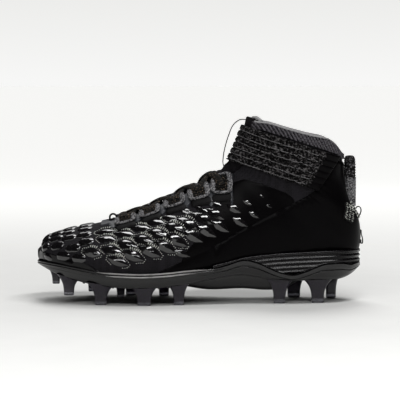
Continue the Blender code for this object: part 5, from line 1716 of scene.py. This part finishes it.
@dataclass
class SoleUnit:
    """Moulded plate, midsole, studs and insole."""

    shoe: Shoe
    steps: int = 7
    draft: float = 4.5 * MM
    lip_depth: float = 0.8 * MM
    wall: float = 1.6 * MM
    fin_depth: float = 1.3 * MM
    flange: float = 2.6 * MM
    fin_pitch: float = 4.1 * MM
    fin_groove: float = 1.9 * MM
    midsole_start: float = 0.52
    stud_levels: int = 18
    stud_sides: int = 32
    stud_flare: float = 3.2
    stud_power: float = 0.55
    stud_bury: float = 2.2 * MM
    stud_spread: tuple[float, float] = (1.5, 1.3)
    wall_levels: int = 28
    turn_start: float = 0.72
    turn_depth: float = 2.0 * MM
    fin_rows: int = 46
    fin_step: float = 0.38 * MM
    insole_inset: float = 9.0 * MM
    insole_lift: float = 3.0 * MM
    tip_levels: int = 3
    stations: list[tuple[float, ...]] = field(init=False)
    under_line: list[tuple[float, float]] = field(init=False)

    def __post_init__(self) -> None:
        """Work out the stations: x, lateral, medial, under, edge and rim in metres."""
        rows = [(x * LENGTH, a * w, b * w, under * SOLE_HEIGHT, rim * SOLE_HEIGHT)
                for x, a, b, w, under, rim in SOLE_ROWS]
        wave = smooth_rows(EDGE_WAVE, 5)
        self.stations = []
        for x, lateral, medial, under, rim in smooth_rows(rows, self.steps):
            self.stations.append((x, lateral, medial, under, rim * between(wave, x / LENGTH), rim))
        self.under_line = [(row[0], row[3]) for row in self.stations]

    def outline(self, inset: float, first: int = 0) -> tuple[list[Vector], list[Vector]]:
        """Return lateral and medial plan points moved in by an inset."""
        sides = []
        for column, turn in ((1, 1.0), (2, -1.0)):
            line = [Vector((row[0], row[column])) for row in self.stations]
            moved = []
            for i, point in enumerate(line):
                along = tangent(line, i)
                moved.append(point + Vector((-along.y, along.x)).normalized() * turn * inset)
            sides.append(moved[first:])
        return sides[0], sides[1]

    def ring(self, inset: float | list[float], heights: list[float], first: int = 0) -> list[Vector]:
        """Return one closed ring down the lateral side and back up the medial side."""
        insets = inset if isinstance(inset, list) else [inset] * len(heights)
        zero = self.outline(0.0, first)
        unit = self.outline(1.0 * MM, first)
        made = []
        for side in (0, 1):
            line = []
            for i, (a, b) in enumerate(zip(zero[side], unit[side])):
                p = a + (b - a) * insets[i] / MM
                line.append(Vector((p.x, p.y, heights[i])))
            made.append(line)
        return made[0] + made[1][::-1]

    def build(self) -> None:
        """Build every piece of the sole."""
        self.build_plate()
        self.build_midsole()
        self.build_studs()
        self.build_insole()

    def ladder(self, target: MeshBin, ring: list[Vector], cells: int, crown: float) -> None:
        """Close a ring with a grid from side to side."""
        half = len(ring) // 2
        rows = []
        for i in range(half):
            a, b = ring[i], ring[len(ring) - 1 - i]
            rows.append([a.lerp(b, j / cells) + Vector((0.0, 0.0, crown * math.sin(math.pi * j / cells)))
                         for j in range(cells + 1)])
        target.grid(rows)

    def build_plate(self) -> None:
        """Build the plate with its waved wall, beads, contour grooves, ribs and keel."""
        plate = MeshBin()
        under = [row[3] for row in self.stations]
        edge = [row[4] for row in self.stations]
        places = [row[0] / LENGTH for row in self.stations]
        beads = ((self.wall, 0.2), (self.wall * 0.6, 0.0), (0.5 * MM, 0.05), (0.05 * MM, 0.45), (0.0, 0.9),
                 (0.1 * MM, 1.3), (0.6 * MM, 1.6), (0.65 * MM, 1.9), (0.15 * MM, 2.2), (0.0, 2.6),
                 (0.1 * MM, 3.0), (0.7 * MM, 3.4), (self.lip_depth + 0.3 * MM, 3.8))
        rings = [self.ring(self.wall + 1.0 * MM, [z - 3.0 * MM for z in edge])]
        for inset, drop in beads:
            smooth = max(self.wall * (1.0 - drop / 0.8), 0.0)
            insets = [inset * self.forefoot(x) + smooth * (1.0 - self.forefoot(x)) for x in places]
            rings.append(self.ring(insets, [z - drop * MM for z in edge]))
        start = beads[-1][1] * MM
        for k in range(1, self.wall_levels + 1):
            t = k / self.wall_levels
            heights, insets = [], []
            for x, low, high in zip(places, under, edge):
                height = (high - start) + (low - high + start) * t
                first = beads[-1][0] * self.forefoot(x)
                lean = first + (self.draft - first) * t**1.3
                if t > self.turn_start:
                    lean += self.turn_depth * ((t - self.turn_start) / (1.0 - self.turn_start)) ** 2.2
                insets.append(lean + self.contour(t, x))
                heights.append(height)
            rings.append(self.ring(insets, heights))
        plate.grid(rings, wrap=True)
        self.ladder(plate, rings[0], 8, 0.0)
        self.ladder(plate, rings[-1], 18, -0.4 * MM)
        self.add_keel(plate)
        self.add_ribs(plate)
        self.shoe.publish(plate.build("moulded_plate", PLATE_NYLON, sharp=48.0), "moulded_plate",
                          "outsole_plate")
        self.build_beads()

    def build_beads(self) -> None:
        """Build the two beads along the forefoot's rim, in pale grey as a painted highlight."""
        outer = self.outline(0.25 * MM)
        beads = MeshBin()
        for line in outer:
            for drop, start, end in ((0.5 * MM, 0.185, 0.545), (3.0 * MM, 0.21, 0.50)):
                path, radii = [], []
                for point, row in zip(line, self.stations):
                    share = row[0] / LENGTH
                    if start < share < end:
                        path.append(Vector((point.x, point.y, row[4] - drop)))
                        fade = min((share - start) / 0.05, (end - share) / 0.05, 1.0)
                        radii.append(0.62 * MM * fade + 0.08 * MM)
                beads.tube(path, radii, 8, 1.0, [Vector((0.0, 0.0, 1.0))] * len(path))
        self.shoe.publish(beads.build("forefoot_beads", BEAD_PAINTED_HIGHLIGHT), "moulded_plate")

    def contour(self, t: float, x: float) -> float:
        """Depth of the contour groove along the wall, deeper from the ball to the heel."""
        rear = 1.0 - self.forefoot(x)
        return (0.3 + 0.5 * rear) * MM * math.exp(-((t - 0.16) / 0.05) ** 2)

    @staticmethod
    def forefoot(x: float) -> float:
        """Share of the forefoot's beads at a share of the length."""
        return min(max((0.58 - x) / 0.08, 0.0), 1.0)

    def add_keel(self, target: MeshBin) -> None:
        """Add the keel under the arch."""
        rows = smooth_rows([(0.400, 0.330), (0.440, 0.300), (0.530, 0.220), (0.634, 0.240), (0.715, 0.210),
                            (0.770, 0.260), (0.810, 0.410)], 5)
        half, chamfer = 12.0 * MM, 3.0 * MM
        rings = []
        for x, low in rows[1:-1]:
            z, high = low * SOLE_HEIGHT, between(self.under_line, x * LENGTH) + 1.0 * MM
            cut = min(chamfer, (high - z) / 2)
            profile = [(-half, high), (-half, z + cut), (-half + cut * 0.3, z + cut * 0.3), (-half + cut, z),
                       (half - cut, z), (half - cut * 0.3, z + cut * 0.3), (half, z + cut), (half, high)]
            rings.append([Vector((x * LENGTH, y, h)) for y, h in profile])
        target.loft(rings)

    def add_ribs(self, target: MeshBin) -> None:
        """Add the low chevron ribs under the forefoot and heel."""
        for share in (0.13, 0.16, 0.19, 0.22, 0.29, 0.32, 0.36, 0.39, 0.84, 0.88):
            x = share * LENGTH
            station = min(self.stations, key=lambda row: abs(row[0] - x))
            width = (station[2] - station[1]) / 2 - 14.0 * MM
            centre = (station[2] + station[1]) / 2
            path = []
            for k in range(-8, 9):
                t = k / 8
                spot = x + 6.0 * MM * abs(t)
                path.append(Vector((spot, centre + width * t, between(self.under_line, spot) - 0.6 * MM)))
            target.tube(path, 1.3 * MM, 8, 1.0, [Vector((0.0, 0.0, -1.0))] * len(path))

    def build_midsole(self) -> None:
        """Build the midsole's side fins and flange."""
        first = next(i for i, row in enumerate(self.stations) if row[0] >= self.midsole_start * LENGTH) + 2
        edge = [row[4] + 0.45 * MM for row in self.stations][first:]
        rim = [row[5] for row in self.stations][first:]
        rings = []
        for k in range(self.fin_rows + 1):
            drop = k * self.fin_step
            heights, insets = [], []
            for low, high in zip(edge, rim):
                floor = low + (self.fin_rows - k) * 0.004 * MM
                z = max(high - drop, floor)
                heights.append(z)
                room = min(max((high - drop - low) / self.fin_depth, 0.0), 1.0)
                insets.append(self.fin(drop) * room)
            rings.append(self.ring(insets, heights, first))
        rings.append(self.ring(self.wall + 0.5 * MM, edge, first))
        midsole = MeshBin()
        midsole.grid(rings, wrap=True)
        self.ladder(midsole, rings[0], 6, 0.0)
        self.ladder(midsole, rings[-1], 6, 0.0)
        self.shoe.publish(midsole.build("midsole_fins", MIDSOLE_EVA, sharp=60.0), "midsole_foam", "midsole")

    def fin(self, drop: float) -> float:
        """Inset of the midsole's side at a drop below the rim."""
        if drop < 0.8 * MM:
            return 0.6 * MM * (1.0 - drop / (0.8 * MM)) ** 2
        if drop < self.flange:
            return 0.0
        phase = (drop - self.flange - self.fin_groove / 2) / self.fin_pitch
        return self.fin_depth * (0.5 + 0.5 * math.cos(2.0 * math.pi * phase)) ** 0.75

    def build_studs(self) -> None:
        """Build the studs with their flared feet."""
        for name, x, y, foot_length, foot_width, tip_length, tip_width, tip in STUD_ROWS:
            centre = Vector((x * LENGTH, y * BALL_WIDTH))
            tip_z = tip * SOLE_HEIGHT
            rings = []
            for k in range(self.stud_levels + 1):
                t = k / self.stud_levels
                flare = (1.0 - t) ** self.stud_flare
                length = (tip_length + (foot_length * self.stud_spread[0] - tip_length) * flare) * MM
                width = (tip_width + (foot_width * self.stud_spread[1] - tip_width) * flare) * MM
                if k == self.stud_levels:
                    length, width = length - 1.0 * MM, width - 1.0 * MM
                ring = []
                for step in range(self.stud_sides):
                    x_share, y_share = squircle(2.0 * math.pi * step / self.stud_sides, self.stud_power)
                    a, b = x_share * length / 2, y_share * width / 2
                    b *= 1.0 - 0.16 * math.exp(-(a / (0.22 * length)) ** 2) * (0.25 + 0.75 * t)
                    px, py = centre.x + a, centre.y + b
                    top = between(self.under_line, px) + self.stud_bury
                    z = tip_z if k == self.stud_levels else top + (tip_z - top) * min(t, 0.965)
                    ring.append(Vector((px, py, z)))
                rings.append(ring)
            stud, tip = MeshBin(), MeshBin()
            joint = self.stud_levels - self.tip_levels
            stud.loft(rings[:joint + 1])
            tip.loft(rings[joint:])
            self.shoe.publish(tip.build(f"{name}_clear_tip", CLEAR_TIP, sharp=50.0), "smoked_stud")
            self.shoe.publish(stud.build(f"{name}_moulded", STUD_TPU, sharp=50.0), "smoked_stud", name)

    def build_insole(self) -> None:
        """Build the insole as a padded sheet inside the shell."""
        bed = [(row[0] * LENGTH, row[1] * SOLE_HEIGHT) for row in FOOT_ROWS]
        bed += [(row[0] * LENGTH, row[1] * SHAFT_HEIGHT) for row in ANKLE_ROWS[:3]]
        lateral, medial = self.outline(self.insole_inset)
        rows = []
        for a, b in zip(lateral, medial):
            if not 8.0 * MM < a.x < LENGTH - 10.0 * MM or b.y - a.y < 6.0 * MM:
                continue
            z = between(bed, a.x) + self.insole_lift
            top, bottom = [], []
            for j in range(17):
                t = j / 16
                cup = 3.4 * MM + 1.6 * MM * (2.0 * t - 1.0) ** 4 - (0.0 if 0 < j < 16 else 1.5 * MM)
                spot = a.lerp(b, t)
                top.append(Vector((spot.x, spot.y, z + cup)))
                bottom.append(Vector((spot.x, spot.y, z)))
            rows.append(top + bottom[::-1])
        insole = MeshBin()
        insole.loft(rows)
        self.shoe.publish(insole.build("sockliner", LINING, sharp=60.0), "sockliner", "insole")


# Rectangular lamps: name, place, width, height and power in watts
LAMP_ROWS = [
    ("front_softbox", (-0.12, -1.10, 0.92), 1.3, 0.12, 5.2),
    ("overhead_strip", (0.32, -0.42, 1.2), 0.9, 0.17, 9.0),
    ("rear_softbox", (0.0, 1.2, 1.0), 1.2, 0.3, 3.0),
]


@dataclass
class Studio:
    """Camera, floor and lamps."""

    target: Vector = field(default_factory=lambda: Vector((-0.0003, 0.0, 0.0942)))
    distance: float = 1.6
    elevation: float = 4.0
    frame_width: float = 0.374
    sensor: float = 36.0
    lamp_aim: Vector = field(default_factory=lambda: Vector((0.0, 0.0, 0.06)))
    floor_reach: float = 60.0
    glow_start: float = 0.12
    glow_end: float = 1.5
    glow_power: float = 0.66
    sky_power: float = 1.25
    sky_angle: float = 28.0
    sky_tilt: float = -24.0

    def build(self) -> None:
        """Set up the camera, floor, world and lamps."""
        scene = bpy.context.scene
        scene.view_settings.view_transform = "Standard"
        data = bpy.data.cameras.new("photo_camera")
        data.sensor_width = self.sensor
        data.lens = self.sensor * self.distance / self.frame_width
        data.clip_end = 200.0
        camera = bpy.data.objects.new("photo_camera", data)
        scene.collection.objects.link(camera)
        tilt = math.radians(self.elevation)
        camera.location = self.target + Vector((0.0, -math.cos(tilt), math.sin(tilt))) * self.distance
        camera.rotation_euler = (math.pi / 2 - tilt, 0.0, 0.0)
        scene.camera = camera
        self.build_floor()
        self.build_world()
        for name, place, width, height, power in LAMP_ROWS:
            self.add_lamp(name, place, width, height, power)
        self.add_sky_lamp()

    def build_floor(self) -> None:
        """Lay the pale floor."""
        floor = MeshBin()
        places = [share * self.floor_reach for share in (-1, -0.1, 0.1, 1)]
        floor.grid([[Vector((x, y, 0.0)) for y in places] for x in places])
        piece = floor.build("studio_floor", FLOOR_PAINT)
        tree = FLOOR_PAINT.material().node_tree
        shader = tree.nodes["Principled BSDF"]
        shader.inputs["Emission Color"].default_value = linear("#fbfbf9")
        place = add_node(tree, "ShaderNodeTexCoord")
        away = add_node(tree, "ShaderNodeVectorMath", {"operation": "LENGTH"}, {0: place.outputs["Object"]})
        glow = add_node(tree, "ShaderNodeMapRange", {
            "From Min": self.glow_start, "From Max": self.glow_end, "To Max": self.glow_power,
        }, {"Value": away.outputs["Value"]})
        tree.links.new(glow.outputs["Result"], shader.inputs["Emission Strength"])

    def build_world(self) -> None:
        """Make the background near white for the camera and dim for reflections."""
        world = bpy.data.worlds.new("studio_world")
        bpy.context.scene.world = world
        world.use_nodes = True
        tree = world.node_tree
        tree.nodes.clear()
        path = add_node(tree, "ShaderNodeLightPath")
        heading = add_node(tree, "ShaderNodeTexCoord")
        height = add_node(tree, "ShaderNodeSeparateXYZ", links={"Vector": heading.outputs["Generated"]})
        sweep = add_node(tree, "ShaderNodeValToRGB", links={"Fac": height.outputs["Z"]})
        sweep.color_ramp.elements[0].color = linear("#f7f7f6")
        sweep.color_ramp.elements[1].position = 0.055
        sweep.color_ramp.elements[1].color = linear("#ebebe9")
        dim = add_node(tree, "ShaderNodeBackground", {"Color": (1.0, 1.0, 1.0, 1.0), "Strength": 0.02})
        bright = add_node(tree, "ShaderNodeBackground", {"Strength": 1.0}, {"Color": sweep.outputs["Color"]})
        mix = add_node(tree, "ShaderNodeMixShader", links={
            0: path.outputs["Is Camera Ray"], 1: dim.outputs["Background"], 2: bright.outputs["Background"],
        })
        add_node(tree, "ShaderNodeOutputWorld", links={"Surface": mix.outputs["Shader"]})

    def add_sky_lamp(self) -> None:
        """Add the broad overhead light that whitens the floor and softens the contact shadow."""
        data = bpy.data.lights.new("overhead_silk", "SUN")
        data.energy = self.sky_power
        data.angle = math.radians(self.sky_angle)
        lamp = bpy.data.objects.new("overhead_silk", data)
        lamp.rotation_euler = (math.radians(self.sky_tilt), 0.0, 0.0)
        bpy.context.scene.collection.objects.link(lamp)

    def add_lamp(self, name: str, place: tuple[float, float, float], width: float, height: float,
                 power: float) -> None:
        """Add one rectangular lamp aimed at the shoe."""
        data = bpy.data.lights.new(name, "AREA")
        data.shape = "RECTANGLE"
        data.size, data.size_y, data.energy = width, height, power
        lamp = bpy.data.objects.new(name, data)
        bpy.context.scene.collection.objects.link(lamp)
        lamp.location = place
        lamp.rotation_euler = (self.lamp_aim - Vector(place)).to_track_quat("-Z", "Y").to_euler()


def main() -> None:
    """Build the whole visual model around the frame."""
    logging.basicConfig(level=logging.INFO, format="%(name)s: %(message)s")
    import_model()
    low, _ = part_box("outsole_plate")
    lateral_reach = min(a * w for _, a, _, w, _, _ in SOLE_ROWS)
    shoe = Shoe(Vector((low.x, low.y - lateral_reach, 0.0)))
    Studio().build()
    UpperShell(shoe).build()
    RearPanels(shoe).build()
    Throat(shoe).build()
    AnkleStrap(shoe).build()
    HeelTrim(shoe).build()
    SoleUnit(shoe).build()


if __name__ == "__main__":
    main()
